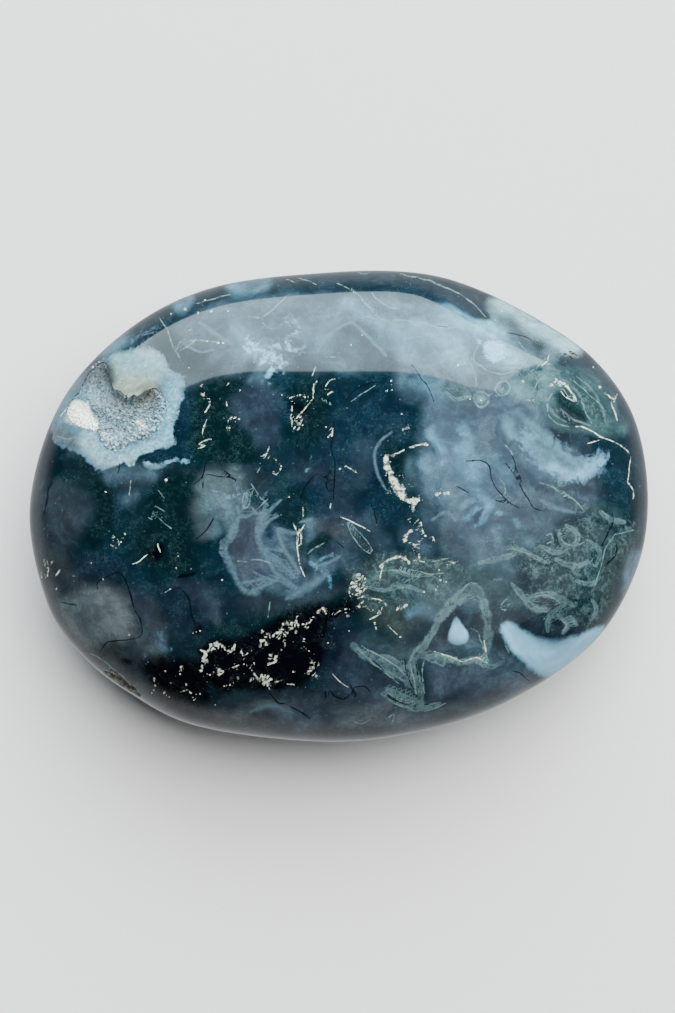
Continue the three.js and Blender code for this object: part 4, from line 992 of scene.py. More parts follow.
DARK_LINES = [  # width, points
    (1.3, [(98, 590), (97, 583), (102, 579), (112, 574), (120, 571)]),
    (1.7, [(120, 573), (127, 582), (130, 594), (135, 609)]),
    (1.2, [(136, 612), (141, 620), (142, 634), (138, 637)]),
    (1.6, [(136, 638), (124, 641), (109, 642), (104, 647), (99, 653)]),
    (1.7, [(174, 587), (182, 590), (189, 599), (191, 612), (195, 626)]),
    (1.7, [(466, 461), (478, 460), (487, 463), (491, 473)]),
    (1.4, [(491, 474), (494, 485), (503, 496), (512, 504), (520, 508)]),
    (1.3, [(512, 455), (516, 468), (522, 484)]),
    (1.5, [(506, 463), (516, 478), (526, 496), (534, 508), (540, 511)]), (1.2, [(456, 486), (469, 493)]),
    (1.2, [(494, 500), (506, 503)]), (1.3, [(511, 671), (519, 672), (527, 680), (534, 686)]),
    (1.8, [(53, 482), (48, 490), (47, 502), (44, 514), (41, 522)]),
    (1.7, [(268, 690), (272, 697), (280, 703), (286, 703)]), (1.8, [(291, 706), (300, 712), (310, 719)]),
    (1.4, [(206, 462), (203, 474), (198, 481), (193, 484)]),
    (1.3, [(207, 474), (218, 476), (228, 477), (238, 480)]), (1.2, [(224, 470), (231, 476), (236, 483)]),
    (1.2, [(203, 476), (203, 488)]),
    (1.6, [(334, 420), (333, 436), (331, 448), (335, 464), (334, 484), (333, 500)]),
    (1.4, [(322, 474), (326, 480), (333, 480)]), (1.2, [(330, 470), (326, 484), (330, 492)]),
    (1.4, [(300, 504), (305, 488), (316, 474)]), (1.6, [(325, 690), (326, 698)]),
    (1.8, [(330, 690), (335, 697), (343, 699), (350, 695)]), (1.8, [(350, 684), (354, 693)]),
    (1.3, [(354, 688), (365, 686), (370, 692)]), (1.4, [(617, 543), (616, 554), (606, 565)]),
    (1.2, [(437, 326), (448, 327)]), (1.3, [(506, 332), (522, 336), (532, 340)]),
    (1.3, [(412, 364), (420, 376), (430, 390), (434, 402)]), (1.2, [(60, 602), (70, 604), (77, 605)]),
    (1.4, [(370, 503), (375, 512), (376, 524)]), (1.2, [(380, 500), (378, 508)]),
    (1.4, [(214, 518), (208, 528), (196, 540)]), (1.3, [(612, 512), (613, 522), (608, 532), (602, 546)]),
    (1.2, [(404, 660), (408, 676), (414, 690)]), (1.2, [(416, 664), (418, 676)]),
    (1.4, [(387, 696), (396, 701), (410, 706)]), (1.2, [(424, 705), (430, 704)]),
    (1.2, [(346, 400), (353, 392), (366, 384), (378, 382)]), (1.2, [(336, 541), (344, 548)]),
    (1.2, [(372, 660), (382, 668)]), (1.1, [(120, 462), (118, 474)]), (1.2, [(100, 657), (106, 655)]),
    (2, [(569, 356), (574, 360)]), (1.4, [(567, 361), (568, 362)]), (1.6, [(121, 380), (124, 382)]),
    (1.4, [(118, 387), (119, 388)]), (1.4, [(55, 423), (56, 423)]), (1.5, [(159, 422), (160, 423)]),
    (1.3, [(387, 363), (388, 364)]), (1.2, [(396, 362), (397, 363)]), (1.3, [(411, 364), (412, 366)]),
    (1.3, [(526, 444), (527, 445)]), (1.4, [(437, 494), (438, 495)]), (1.6, [(404, 537), (405, 539)]),
    (1.3, [(560, 536), (566, 534)]), (1.5, [(577, 539), (578, 542)]), (1.4, [(520, 378), (521, 379)]),
]
SUGAR_ON_AGATE = (0, 8, [(86, 412), (100, 396), (150, 392), (176, 378), (178, 440), (112, 464), (84, 440)])
SUGAR_STRENGTH = 0.4
TWIST_BELOW = math.radians(75)
TWIST_GROWTH = 1.5
PATCH_WARP = 4.5  # how far, in pixels, the outlines of patches stray from their points
PATCH_WARP_LENGTHS = (26, 11)
FINE_WARP = 0.45  # and the finer warp's part of that
THREAD_WAVER = 1.2  # how far threads do
THREAD_WAVER_LENGTH = 9
STRAY_SEED = 7  # without a fixed one, patches and threads would stray another way each time
THREAD_REACH = 14
PATCH_STEP = 6
THREAD_STEP = 3
SPECK_LENGTH = 0.1
SPECK_WIDTH = 0.62  # the half width all along a speck or a line straight down, as a part of its width
TIP = 0.03  # the part of a thread's length that keeps the width of its tip
TIP_WIDTH = 0.45  # and that width as a part of the thread's
THREAD_UNEVENNESS = 0.5
UNEVEN_PX = 5  # how closely wide and narrow stretches follow one another
DEEPEST = 3  # depths are kept up to this many times the softness of an edge
FAR = 60.0
CELL_PX = 2.6  # closer to a line than this it may pass between the points of the mesh unseen

# Every point of the mesh looks up its markings at a place on the crown: its own, or for the underside the
# place above it, turned more and more the farther down it is, so that the markings run on round the edge.
lookup = stone_points.copy()
below = stone_points[:, 2] < WIDEST_LEVEL
turn = TWIST_BELOW * ((WIDEST_LEVEL - stone_points[below, 2]) / WIDEST_LEVEL) ** TWIST_GROWTH
half_size = (solid_high - solid_low)[:2] / 2
flat = stone_points[below, :2] / half_size
cos, sin = np.cos(turn), np.sin(turn)
turned = np.stack([flat[:, 0] * cos - flat[:, 1] * sin, flat[:, 0] * sin + flat[:, 1] * cos], 1) * half_size
lookup[below] = [(x, y, crown_top(x, y)) for x, y in turned]
lookup_px = seen_at(lookup)


turbulence.seed_set(STRAY_SEED)


def strayed(points, length, amplitude):
    """Points of the picture moved about by a smooth turbulence of a given length and amplitude."""
    moves = [turbulence.noise_vector(Vector((x / length, y / length, 0)))[:2] for x, y in points]
    return points + amplitude * np.array(moves)


warped_px = strayed(lookup_px, PATCH_WARP_LENGTHS[0], PATCH_WARP)
warped_px = strayed(warped_px, PATCH_WARP_LENGTHS[1], PATCH_WARP * FINE_WARP)


def nearest_on(line, places, reach, widths=None):
    """For each place the way to the nearest point of a line, divided by its width there if it has one."""
    best = np.full(len(places), np.inf)
    way = np.zeros((len(places), 2))
    for i in range(len(line) - 1):
        a, b = line[i], line[i + 1]
        close = np.flatnonzero(np.abs(places - (a + b) / 2).max(1) < reach + np.abs(b - a).max() / 2)
        from_a = places[close] - a
        span = b - a
        t = np.clip(from_a @ span / max(span @ span, 1e-9), 0, 1)
        offset = from_a - t[:, None] * span
        if widths is not None:
            offset = offset / (widths[i] + (widths[i + 1] - widths[i]) * t)[:, None]
        distance = np.linalg.norm(offset, axis=1)
        nearer = distance < best[close]
        best[close[nearer]] = distance[nearer]
        way[close[nearer]] = offset[nearer]
    return best, way


def inside(polygon, places):
    """Whether places of the picture are inside a polygon."""
    hits = np.zeros(len(places), bool)
    for (x1, y1), (x2, y2) in zip(polygon, np.roll(polygon, -1, 0)):
        crosses = (y1 > places[:, 1]) != (y2 > places[:, 1])
        at = x1 + (places[:, 1] - y1) * (x2 - x1) / (y2 - y1 if y2 != y1 else 1e-9)
        hits ^= crosses & (places[:, 0] < at)
    return hits


def around(line, places, reach):
    """Which places are in the box round a line, with a margin."""
    return np.flatnonzero(((places > line.min(0) - reach) & (places < line.max(0) + reach)).all(1))


def speck(x, y):
    """A very short line at a point."""
    return [(x, y), (x + SPECK_LENGTH, y)]


def depth_in(radius, softness, points, places):
    """How deep places are in a stroke or a patch, in units of its softness. Less than 0 is outside it."""
    line = smooth_line(points if len(points) > 1 else speck(*points[0]), not radius, PATCH_STEP)
    line = line if radius else np.vstack([line, line[:1]])
    reach = radius + DEEPEST * softness
    depths = np.full(len(places), float(-DEEPEST))
    close = around(line, places, reach)
    distance = np.minimum(nearest_on(line, places[close], reach)[0], reach)
    if not radius:
        distance = np.where(inside(line[:-1], places[close]), -distance, distance)
    depths[close] = (radius - distance) / softness
    return np.clip(depths, -DEEPEST, DEEPEST)


def keep_on_mesh(mesh, name, values):
    """Stores a number or a vector for each point of a mesh."""
    vector = values.ndim == 2
    attribute = mesh.attributes.new(name, "FLOAT_VECTOR" if vector else "FLOAT", "POINT")
    attribute.data.foreach_set("vector" if vector else "value", values.astype(np.float32).ravel())


def smoothly(low, high, values):
    """0 below the low value and 1 above the high one, smoothly, for an array."""
    share = np.clip((values - low) / (high - low), 0, 1)
    return share * share * (3 - 2 * share)


def painted(base, strokes, places):
    """The pigments laid over one another at places of the picture."""
    colours = np.tile(np.array(PIGMENTS[base]), (len(places), 1))
    for pigment, strength, radius, softness, points in strokes:
        cover = strength * smoothly(-1, 1, depth_in(radius, softness, points, places))
        colours += cover[:, None] * (np.array(PIGMENTS[pigment]) - colours)
    return colours


def thread_widths(width, points, line):
    """The half widths along a thread, which is uneven and thins out towards its ends."""
    if len(points) == 2 and abs(points[0][0] - points[1][0]) < 2 * SPECK_LENGTH:
        return np.full(len(line), width * SPECK_WIDTH)
    along = np.clip(np.linspace(0, 1, len(line)), TIP, 1 - TIP)
    fullness = TIP_WIDTH + (1 - TIP_WIDTH) * np.sin(along * math.pi) ** 0.5
    spots = [Vector((x / UNEVEN_PX, y / UNEVEN_PX, 3)) for x, y in line]
    uneven = np.array([1 + THREAD_UNEVENNESS * turbulence.noise(spot) for spot in spots])
    return width / 2 * uneven * fullness


def ways_to_threads(lines, places):
    """The way from each place to the nearest thread, in half widths, and the least it may be near there."""
    best = np.full(len(places), FAR)
    way = np.full((len(places), 2), FAR)
    bound = np.full(len(places), FAR)
    for width, points in lines:
        line = smooth_line(points, False, THREAD_STEP)
        if len(points) > 2:
            line = strayed(line, THREAD_WAVER_LENGTH, THREAD_WAVER)
        widths = thread_widths(width, points, line)
        close = around(line, places, THREAD_REACH)
        distance, offset = nearest_on(line, places[close], THREAD_REACH, widths)
        nearer = distance < best[close]
        close = close[nearer]
        best[close], way[close] = distance[nearer], offset[nearer]
        bound[close] = distance[nearer] - CELL_PX / widths.mean()
    return np.column_stack([way, bound])


keep_on_mesh(stone.data, "ground", painted("blue", GROUND_STROKES, warped_px))
keep_on_mesh(stone.data, "bright_colour", painted("billow", BRIGHT_STROKES, warped_px))
for name, patches, places in (
    ("bright", BRIGHT_PATCHES, lookup_px), ("sage", SAGE_PATCHES, warped_px),
    ("moss", MOSS_PATCHES, warped_px), ("night", NIGHT_PATCHES, warped_px),
    ("milk", MILK_PATCHES, lookup_px),
):
    keep_on_mesh(stone.data, name, np.max([depth_in(*patch, places) for patch in patches], 0))
sugar_depth = depth_in(*SUGAR_ON_AGATE, lookup_px)
keep_on_mesh(stone.data, "sugar", SUGAR_STRENGTH * smoothly(-1, 1, sugar_depth))
cream_specks = [(width, speck(x, y)) for width, places in CREAM_DOTS.items() for x, y in places]
for name, lines in (
    ("cream", CREAM_LINES + cream_specks), ("pale", PALE_LINES), ("ribbon", RIBBONS), ("arm", ARMS),
    ("dark", DARK_LINES),
):
    keep_on_mesh(stone.data, name, ways_to_threads(lines, lookup_px))

# The stone's finish
# Chalcedony from deep teal to milky blue, with dark green moss, clouds, cream threads and specks, under one
# clear polish. The textures are scaled per millimetre, and the masks of the markings come from the mesh.
MOSS_DARK = (0.0009, 0.0075, 0.0095, 1)
MOSS_LIGHT = (0.007, 0.026, 0.025, 1)
NIGHT = (0.0005, 0.0009, 0.0026, 1)
SAGE_DARK = (0.006, 0.021, 0.026, 1)
SAGE_MIDDLE = (0.024, 0.044, 0.05, 1)
SAGE_LIGHT = (0.1, 0.18, 0.18, 1)
ARM = (0.082, 0.142, 0.156, 1)
PALE_THREAD = (0.15, 0.27, 0.26, 1)
MILK = (0.075, 0.14, 0.185, 1)
SMOKE = (0.024, 0.039, 0.052, 1)
RIBBON = (0.08, 0.14, 0.178, 1)
CREAM = (0.8, 0.88, 0.72, 1)
INK = (0.001, 0.004, 0.006, 1)
POLISH_ROUGHNESS = 0.05
QUARTZ_IOR = 1.54
MIDDLE = 0.5  # of the values of a noise


def m(operation, *values):
    """A Math node's result in the tree at hand."""
    return reckon(tree, operation, *values)


def times(value, *others):
    """The product of values."""
    for other in others:
        value = m("MULTIPLY", value, other)
    return value


def spread(value, gain, start):
    """A value times a gain, added to a start."""
    return m("MULTIPLY_ADD", value, gain, start)


def ramp(value, low, high):
    """0 below the low value and 1 above the high one, smoothly."""
    return result(tree, "ShaderNodeMapRange", {"Value": value, "From Min": low, "From Max": high},
                  interpolation_type="SMOOTHSTEP")


def fall(value, low, high):
    """1 below the low value and 0 above the high one, smoothly."""
    return m("SUBTRACT", 1, ramp(value, low, high))


def blend(amount, under, over):
    """A colour laid over another. The node's colours are its inputs 6 and 7 and its output 2."""
    return put(tree, "ShaderNodeMix", {"Factor": amount, 6: under, 7: over}, data_type="RGBA").outputs[2]


def field(name):
    """What the mesh stores under a name."""
    return put(tree, "ShaderNodeAttribute", attribute_name=name).outputs


def channel(colour, name):
    """One channel of a colour."""
    return put(tree, "ShaderNodeSeparateColor", {0: colour}).outputs[name]


def measured_place():
    """The place on the object, in millimetres."""
    place = put(tree, "ShaderNodeTexCoord").outputs["Object"]
    return result(tree, "ShaderNodeMapping", {"Vector": place, "Scale": (1 / MM, 1 / MM, 1 / MM)})


def noise(scale, detail=5, roughness=0.55, at=None, distortion=0, output="Fac"):
    """A cloudy texture with so many clouds to the millimetre."""
    return put(tree, "ShaderNodeTexNoise", {
        "Vector": at or here, "Scale": scale, "Detail": detail, "Roughness": roughness,
        "Distortion": distortion,
    }).outputs[output]


def moved(scale, detail, distance):
    """Places moved about by a texture, up to about a distance."""
    drift = reckon_vector(tree, "SUBTRACT", noise(scale, detail, output="Color"), (MIDDLE, MIDDLE, MIDDLE))
    return reckon_vector(tree, "MULTIPLY_ADD", drift, (distance, distance, distance), here)


# The grain of fine crystals, dark and light specks, which the hollow's lining and the agate beside it share.
sugar_grain, given = new_group("sugar_grain", "ShaderNodeTree", {"Colour": "Color", "Amount": "Float"},
                               {"Colour": "Color"})
tree = sugar_grain
here = measured_place()
speckled = ramp(noise(3.2, 5, 0.72), 0.34, 0.68)
change = times(m("SUBTRACT", speckled, 0.45), given["Amount"])
put(tree, "NodeGroupOutput", {0: scaled(tree, given["Colour"], spread(change, 1.7, 1))})


def sugared(colour):
    """A colour with as much of that grain as the mesh says."""
    return put(tree, "ShaderNodeGroup", {"Colour": colour, "Amount": field("sugar")["Fac"]},
               node_tree=sugar_grain).outputs["Colour"]


agate.use_nodes = True
tree = agate.node_tree
gloss = tree.nodes["Principled BSDF"]
here = measured_place()
drifted = moved(0.35, 3, 3.5)
rippled = moved(1.6, 3, 0.9)
billow = noise(0.45, 6, 0.58, drifted)
fleck = noise(1.5, 5, 0.62, drifted)
fine = noise(4.5, 4, 0.6)


def edged(name, ragged, texture):
    """The mask of the patches of a kind, with edges made ragged by a texture."""
    return ramp(spread(m("SUBTRACT", texture, MIDDLE), ragged, field(name)["Fac"]), -1, 1)


def ridges(texture, breadth):
    """Thin crests along the middle value of a texture."""
    return fall(m("ABSOLUTE", m("SUBTRACT", texture, MIDDLE)), 0, breadth)


def reach_of(name, raggedness):
    """How far it is to the nearest thread of a kind, in units of its own half width."""
    parts = split(tree, field(name)["Vector"])
    flat_way = result(tree, "ShaderNodeCombineXYZ", {0: parts[0], 1: parts[1]})
    coarse = times(m("SUBTRACT", fleck, MIDDLE), raggedness)
    uneven = spread(m("SUBTRACT", fine, MIDDLE), raggedness, coarse)
    return m("ADD", uneven, m("MAXIMUM", reckon_vector(tree, "LENGTH", flat_way), parts[2]))


def threads(name, raggedness, low=0.7, high=1.25):
    """The mask of the threads of a kind."""
    return fall(reach_of(name, raggedness), low, high)


def lumpy(scale, smoothness, detail, roughness, low, high):
    """Round lumps, whose middles are 1."""
    apart = put(tree, "ShaderNodeTexVoronoi", {
        "Vector": rippled, "Scale": scale, "Smoothness": smoothness, "Detail": detail,
        "Roughness": roughness,
    }, feature="SMOOTH_F1").outputs["Distance"]
    return fall(apart, low, high)


def from_walls(scale):
    """How far it is to the nearest wall of a foam of pores."""
    return result(tree, "ShaderNodeTexVoronoi", {"Vector": rippled, "Scale": scale},
                  feature="DISTANCE_TO_EDGE")


# The ground is the painted one, mottled, with puffs, smoke and wisps where it is milky.
ground = field("ground")["Color"]
milkiness = ramp(channel(ground, "Green"), 0.030, 0.085)
lumps = lumpy(0.62, 0.6, 2, 0.5, 0.15, 0.62)
small_lumps = lumpy(1.5, 0.4, 1, 0.6, 0.12, 0.60)
mottle = times(spread(ramp(billow, 0.30, 0.70), 0.55, 0.70), spread(ramp(fleck, 0.30, 0.70), 0.30, 0.85))
colour = scaled(tree, ground, mottle)
puffs = times(lumps, ramp(noise(0.30, 3, 0.5), 0.44, 0.60), milkiness, spread(small_lumps, 0.6, 0.45))
colour = blend(times(puffs, 0.85), colour, MILK)
smoky = ramp(noise(0.16, 5, 0.62, drifted), 0.45, 0.68)
colour = blend(times(smoky, spread(milkiness, 0.34, 0.12)), colour, SMOKE)
wisps = times(ridges(noise(0.55, 4, 0.5, drifted, 1.2), 0.035), ramp(fleck, 0.45, 0.62))
colour = blend(times(wisps, spread(milkiness, 0.30, 0.08)), colour, MILK)

# Moss has fine lighter fibres in it, and sage moss a lace of pale walls, lines and pores.
fibres = ridges(noise(0.9, 5, 0.6, rippled, 0.8), 0.06)
moss_colour = blend(times(fibres, ramp(fleck, 0.42, 0.60)), MOSS_DARK, MOSS_LIGHT)
colour = blend(times(edged("moss", 3.5, fleck), 0.85), colour, moss_colour)
pores = from_walls(1.3)
cells = times(fall(pores, 0.02, 0.16), ramp(billow, 0.44, 0.58))
small_cells = times(fall(from_walls(2.5), 0.03, 0.18), ramp(fleck, 0.46, 0.58))
lace = m("MAXIMUM", ridges(noise(0.42, 5, 0.58, rippled, 0.5), 0.022), times(cells, 0.75))
lace = m("MAXIMUM", lace, times(small_cells, 0.6))
lace = m("MAXIMUM", lace, times(ridges(noise(1.1, 4, 0.6, rippled, 0.4), 0.03), 0.55))
lace = times(lace, ramp(fleck, 0.38, 0.60))
sage_colour = blend(ramp(noise(0.38, 5, 0.62, drifted), 0.40, 0.60), SAGE_MIDDLE, SAGE_DARK)
sage_colour = blend(times(lace, 0.8), sage_colour, SAGE_LIGHT)
sage_thickness = spread(ramp(noise(0.7, 5, 0.6, drifted), 0.40, 0.58), 0.5, 0.45)
colour = blend(times(edged("sage", 6.5, fleck), sage_thickness), colour, sage_colour)

# The arms are broad pale branches, holed like a sponge and lighter along their rims.
holes = times(ramp(pores, 0.12, 0.24), ramp(fleck, 0.40, 0.52))
arm_reach = reach_of("arm", 1.2)
arm_rim = fall(m("ABSOLUTE", m("SUBTRACT", arm_reach, 0.70)), 0.05, 0.40)
arm_colour = blend(times(holes, 0.72), ARM, SAGE_DARK)
rim_cover = times(arm_rim, spread(ramp(fleck, 0.4, 0.6), 0.4, 0.15))
arm_colour = blend(rim_cover, arm_colour, PALE_THREAD)
arm_cover = times(fall(arm_reach, 0.55, 1.35), spread(ramp(billow, 0.36, 0.6), 0.45, 0.45))
colour = blend(arm_cover, colour, arm_colour)

# The night is nearly black, and fine hairs and dust lie over all of this.
colour = blend(edged("night", 2.6, fleck), colour, NIGHT)
hairs = times(ridges(noise(1.5, 4, 0.62, rippled, 0.9), 0.03), ramp(billow, 0.46, 0.60))
colour = blend(times(hairs, spread(milkiness, 0.22, 0.10)), colour, PALE_THREAD)
grains = put(tree, "ShaderNodeTexVoronoi", {"Vector": here, "Scale": 2.4}).outputs
rare = ramp(channel(grains["Color"], "Red"), 0.80, 0.84)
dust = times(rare, fall(grains["Distance"], 0.10, 0.22), ramp(fleck, 0.46, 0.58))
colour = blend(times(dust, 0.45), colour, PALE_THREAD)

# The clouds are curdled in lumps, and the milk drops are even.
curd = spread(lumps, 0.3, spread(small_lumps, 0.35, times(ramp(fleck, 0.25, 0.70), 0.35)))
cloud_colour = scaled(tree, field("bright_colour")["Color"], spread(curd, 0.90, 0.62))
lobed = m("ADD", times(m("ADD", lumps, small_lumps), 0.25), times(ramp(fleck, 0.3, 0.7), 0.5))
colour = blend(times(edged("bright", 4.2, lobed), spread(curd, 0.35, 0.70)), colour, cloud_colour)
milk_colour = scaled(tree, field("bright_colour")["Color"], spread(ramp(billow, 0.3, 0.7), 0.30, 0.90))
colour = blend(times(edged("milk", 2.2, fleck), 0.93), colour, milk_colour)

# The threads are broken here and there. The cream ones are rows of crumbs, with others strewn about them.
ribbons = times(threads("ribbon", 1.5, 0.0, 1.5), spread(ramp(fleck, 0.30, 0.62), 0.55, 0.38))
colour = blend(ribbons, colour, RIBBON)
breaks = ramp(noise(1.9, 3, 0.6), 0.36, 0.60)
colour = blend(times(threads("pale", 1.8), spread(breaks, 0.65, 0.12)), colour, PALE_THREAD)
colour = blend(times(threads("dark", 1.3), spread(breaks, 0.25, 0.72)), colour, INK)
shaken = reckon_vector(tree, "MULTIPLY_ADD", noise(3.0, 2, output="Color"), (0.22, 0.22, 0.22), here)
grit = put(tree, "ShaderNodeTexVoronoi", {"Vector": shaken, "Scale": 4.4}, distance="MANHATTAN").outputs
chance = channel(grit["Color"], "Green")
crumbs = times(ramp(noise(2.5, 4, 0.68), 0.43, 0.53), spread(chance, 0.45, 0.60))
cream_reach = reach_of("cream", 1.6)
specks = times(fall(grit["Distance"], 0.25, 0.50), ramp(chance, 0.70, 0.78))
strewn = times(fall(cream_reach, 0.8, 3.6), specks, 0.55)
cream_cover = times(fall(cream_reach, 0.55, 1.30), spread(crumbs, 0.88, 0.12))
colour = blend(m("MAXIMUM", cream_cover, strewn), colour, CREAM)
feed(tree, gloss, {"Base Color": sugared(colour), "Roughness": POLISH_ROUGHNESS, "IOR": QUARTZ_IOR})

# Where the stone is broken it is matt with a fine grain: creamy grey in the pits. In the hollow the halo's
# pale blue is laid on its walls as painted light, which lifts the shade in the gap beside the crust.
BROKEN_DARK = (0.045, 0.050, 0.047, 1)
BROKEN_PALE = (0.45, 0.46, 0.40, 1)
LIP_PAINTED_LIGHT = (0.34, 0.50, 0.54, 1)
broken.use_nodes = True
tree = broken.node_tree
matt = tree.nodes["Principled BSDF"]
here = measured_place()
crumb = noise(3.0, 6, 0.65)
broken_colour = blend(ramp(crumb, 0.36, 0.62), BROKEN_DARK, BROKEN_PALE)
broken_colour = blend(ramp(field("sugar")["Fac"], 0.05, 0.30), broken_colour, LIP_PAINTED_LIGHT)
bump = result(tree, "ShaderNodeBump", {"Strength": 0.6, "Distance": 0.1 * MM, "Height": noise(6.0, 5, 0.7)})
feed(tree, matt, {"Base Color": broken_colour, "Roughness": ramp(crumb, 1.2, -0.1), "Normal": bump})

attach(stone, "root")
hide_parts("stone")

# The quartz druse
# The hollow is lined with one crust of small quartz crystals that grew on the agate, greyish blue at the
# left and brighter below. Under the ledge a warm brown is painted shade, with warm painted light at the
# ledge's foot that lifts the shadow there, and a few white spots are painted glare.
FIT_GAP = 0.05  # the crust stops this far short of the mouth
CRUST_SINK = 0.05  # and its underside lies this far in the stone
CRUST_THICKNESS = 0.95
CRUST_THINNEST = 0.12
CRUST_GRAIN = 0.16
CRUST_LUMPS_PER_MM = 2.2
CRUST_GRIT_PER_MM = 3.1
CRUST_RINGS = [1 - k / 60 for k in range(58)]
CRYSTAL_COUNT = 2500
CRYSTAL_RADIUS = (0.05, 0.24)
CRYSTAL_TILT = math.radians(26)
FEW_BIG_ONES = 2.2  # more makes big crystals rarer
PRISM_HEIGHT = 1.5  # these four are in radii of a crystal
POINT_HEIGHT = 1.0
PRISM_TAPER = 0.93
ROOT_DEPTH = 0.6
SMALLER_FROM = 7.0  # crystals shrink from here
SMALLER_TO = 9.6  # to here, under the ledge,
SMALLER_BY = 0.4  # to this part of their size
FACING_UP = 0.3
DRUSE_STROKES = [  # pigment, strength, radius, softness, points
    ("pewter", 0.85, 0, 8, [(86, 362), (110, 356), (116, 376), (108, 388), (92, 392), (82, 384)]),
    # Painted shade and light: the first stroke below is brown shade under the ledge. The last stroke of the
    # line after it is warm painted light that lifts the shadow at the ledge's foot.
    ("ledge_shade_brown", 0.6, 3, 4, [(108, 366), (112, 380)]), ("shell", 0.6, 7, 8, [(88, 394), (80, 403)]),
    ("ash", 0.6, 10, 10, [(98, 402), (108, 412)]), ("ledge_foot_light", 0.8, 9, 8, [(118, 402), (140, 399), (160, 394)]),
    ("quartz", 0.5, 9, 9, [(118, 412), (145, 412)]),
    ("quartz", 0.9, 12, 9, [(100, 434), (125, 442), (150, 430)]),
    ("frost", 0.7, 6, 7, [(164, 392), (168, 412), (160, 430)]),
    ("bone", 0.7, 4, 4, [(98, 444), (112, 456), (140, 450)]),
    # Painted highlight: the white patch on the next two lines is the same facet's glare, and the two white
    # spots after it are painted sparkles on the crystals.
    ("glare_white", 0.98, 0, 1.6, [(67, 416), (68, 407), (75, 402), (86, 402), (90, 408), (92, 415), (98, 421),
        (96, 432), (88, 431), (78, 426)]),
    ("glare_white", 0.8, 2.2, 1.8, [(139, 423), (145, 427)]), ("glare_white", 0.5, 1.6, 1.8, [(104, 432), (108, 440)]),
    ("quartz", 0.4, 14, 12, [(100, 402), (150, 418)]),
]
COARSE_DRUSE = (0, 10, [(92, 416), (120, 402), (168, 388), (170, 440), (108, 464)])
DRUSE_WARP = (9, 3)
GRAIN_EVERYWHERE = 0.30
GRAIN_COARSE = 0.65
QUARTZ_ROUGHNESS = 0.28


def crust_bottom(*place):
    """The level of the crust's underside."""
    return hollow_floor(*place) - CRUST_SINK


def crust_top(x, y, share, bearing):
    """The level of the crust between its crystals."""
    depth = max(hollow_depth(share, bearing) - CRUST_THICKNESS, CRUST_THINNEST)
    grain = turbulence.voronoi(Vector((x, y, depth)) * CRUST_LUMPS_PER_MM)[0][0] - 0.4
    fine_grain = rough(Vector((x, y, 0)) * CRUST_GRIT_PER_MM)
    return crown_top(x, y) - depth + CRUST_GRAIN * (min(grain, 0.2) + 0.6 * fine_grain - 0.4)


def druse_tree():
    """Scatters pointed six-sided crystals over a crust, leaning every way, and joins them to it."""
    tree, given = new_group("quartz_druse", "GeometryNodeTree", {
        "Geometry": "Geometry", "Crust": "Object", "Finish": "Material",
        **dict.fromkeys(("Density", "Smallest", "Largest", "Tilt"), "Float"),
    }, {"Geometry": "Geometry"})

    def joined(*parts):
        """Geometries as one."""
        node = tree.nodes.new("GeometryNodeJoinGeometry")
        for part in parts:
            tree.links.new(part, node.inputs[0])
        return node.outputs[0]

    def lifted(part, height):
        """A geometry moved up."""
        return result(tree, "GeometryNodeTransform", {"Geometry": part, "Translation": (0, 0, height)})

    def six_sided(bottom, top, height):
        """The side faces of a six-sided prism or point."""
        return put(tree, "GeometryNodeMeshCone", {
            "Vertices": 6, "Radius Top": top, "Radius Bottom": bottom, "Depth": height,
        }, fill_type="NONE").outputs["Mesh"]

    sheet = put(tree, "GeometryNodeObjectInfo", {"Object": given["Crust"]}).outputs["Geometry"]
    upper = split(tree, result(tree, "GeometryNodeInputNormal"))[2]
    spots = put(tree, "GeometryNodeDistributePointsOnFaces", {
        "Mesh": sheet, "Selection": reckon(tree, "GREATER_THAN", upper, FACING_UP),
        "Density": given["Density"], "Seed": 7,
    })
    prism = six_sided(1.0, PRISM_TAPER, PRISM_HEIGHT)
    point = lifted(six_sided(PRISM_TAPER, 0.0, POINT_HEIGHT), PRISM_HEIGHT)
    crystal = result(tree, "GeometryNodeMergeByDistance", {"Geometry": joined(prism, point)})
    lean = result(tree, "FunctionNodeRandomValue", {
        "Min": (-1, -1, -3), "Max": (1, 1, 3), "Seed": 3,
    }, data_type="FLOAT_VECTOR")
    tilt = result(tree, "ShaderNodeCombineXYZ", {0: given["Tilt"], 1: given["Tilt"], 2: 1.0})
    leaning = result(tree, "FunctionNodeRotateRotation", {
        "Rotation": spots.outputs["Rotation"], "Rotate By": reckon_vector(tree, "MULTIPLY", lean, tilt),
    }, rotation_space="LOCAL")
    chance = put(tree, "FunctionNodeRandomValue", {2: 0.0, 3: 1.0, "Seed": 5}, data_type="FLOAT").outputs[1]
    size = result(tree, "ShaderNodeMapRange", {
        "Value": reckon(tree, "POWER", chance, FEW_BIG_ONES), "To Min": given["Smallest"],
        "To Max": given["Largest"],
    })
    place = split(tree, result(tree, "GeometryNodeInputPosition"))
    nearer = result(tree, "ShaderNodeMapRange", {
        "Value": place[1], "From Min": SMALLER_TO * MM, "From Max": SMALLER_FROM * MM,
        "To Min": SMALLER_BY, "To Max": 1.0,
    })
    grown = result(tree, "GeometryNodeInstanceOnPoints", {
        "Points": spots.outputs["Points"], "Instance": lifted(crystal, -ROOT_DEPTH), "Rotation": leaning,
        "Scale": reckon(tree, "MULTIPLY", size, nearer),
    })
    hand_out(tree, joined(grown, sheet), given["Finish"])
    return tree


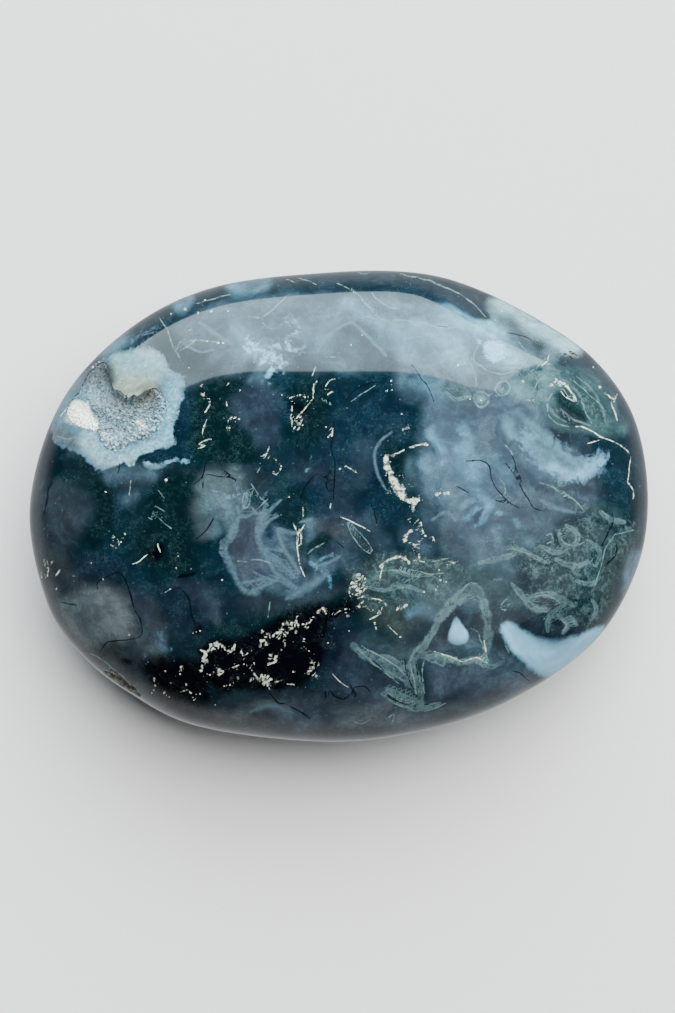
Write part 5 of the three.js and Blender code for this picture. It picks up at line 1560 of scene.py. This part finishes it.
quartz = bpy.data.materials.new("druse_quartz")
crust = hollow_sheet("crust", FIT_GAP, CRUST_RINGS, crust_bottom, crust_top)
hollow_area = math.pi * np.mean(mouth_reaches**2) * MM**2
druse = grown_mesh("quartz_druse", druse_tree(), {
    "Crust": crust, "Finish": quartz, "Density": CRYSTAL_COUNT / hollow_area,
    "Smallest": CRYSTAL_RADIUS[0] * MM, "Largest": CRYSTAL_RADIUS[1] * MM, "Tilt": CRYSTAL_TILT,
})
bpy.data.objects.remove(crust)

druse_px = seen_at(corners_of(druse.data))
keep_on_mesh(druse.data, "ground", painted("glass", DRUSE_STROKES, strayed(druse_px, *DRUSE_WARP)))
coarse = smoothly(-1, 1, depth_in(*COARSE_DRUSE, druse_px))
keep_on_mesh(druse.data, "sugar", GRAIN_EVERYWHERE + GRAIN_COARSE * coarse)
quartz.use_nodes = True
tree = quartz.node_tree
glint = tree.nodes["Principled BSDF"]
grained = sugared(field("ground")["Color"])
feed(tree, glint, {"Base Color": grained, "Roughness": QUARTZ_ROUGHNESS, "IOR": QUARTZ_IOR})

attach(druse, "root")
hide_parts("quartz_crust")

# The floor and the lights
# A plain pale table, one large soft window behind the stone whose reflection lies on the upper part of the
# crown, a dim soft panel at the right, and a soft light from above that casts no reflection.
FLOOR_COLOUR = (0.87, 0.86, 0.85, 1)
FLOOR_ROUGHNESS = 0.6
FLOOR_REACH = 3  # in metres, as are the places and sizes of the lights
ROOM_ABOVE = (0.030, 0.032, 0.035, 1)
ROOM_BELOW = (0.62, 0.63, 0.64, 1)
floor_corners = [(x * FLOOR_REACH, y * FLOOR_REACH, 0) for x, y in ((-1, -1), (1, -1), (1, 1), (-1, 1))]
floor_mesh = bpy.data.meshes.new("floor")
floor_mesh.from_pydata(floor_corners, [], [(0, 1, 2, 3)])
floor = in_scene("floor", floor_mesh)
pale = bpy.data.materials.new("pale_table")
pale.use_nodes = True
matt = pale.node_tree.nodes["Principled BSDF"]
feed(pale.node_tree, matt, {"Base Color": FLOOR_COLOUR, "Roughness": FLOOR_ROUGHNESS})
floor_mesh.materials.append(pale)
floor.visible_glossy = False


def soft_light(name, centre, towards, size, radiance, colour):
    """A rectangular soft light, with its centre and size in metres, that shines towards a point."""
    lamp = bpy.data.lights.new(name, "AREA")
    lamp.shape = "RECTANGLE"
    lamp.size, lamp.size_y = size
    lamp.energy = radiance * math.pi * size[0] * size[1]
    lamp.color = colour
    light = in_scene(name, lamp)
    light.location = centre
    light.rotation_mode = "QUATERNION"
    light.rotation_quaternion = (Vector(towards) - Vector(centre)).to_track_quat("-Z", "Y")
    light.visible_camera = False
    return light


soft_light("window", (-0.02, 0.6, 0.40), (-0.02, 0, 0.40), (0.90, 0.79), 4.8, (0.78, 1.0, 1.08))
soft_light("panel", (1.0, 0.0, 1.0), (1.0, 0.0, 0.0), (1.55, 2.0), 0.45, (1, 1, 1))
soft_light("bounce", (0.5, 0.8, 1.5), (0, 0, 0), (2.3, 2.3), 6.6, (1, 1, 1)).visible_glossy = False
world = bpy.data.worlds.new("room")
world.use_nodes = True
tree = world.node_tree
up = split(tree, put(tree, "ShaderNodeTexCoord").outputs["Generated"])[2]
room = blend(ramp(up, -0.45, 0.0), ROOM_BELOW, ROOM_ABOVE)
tree.links.new(room, tree.nodes["Background"].inputs["Color"])
bpy.context.scene.world = world
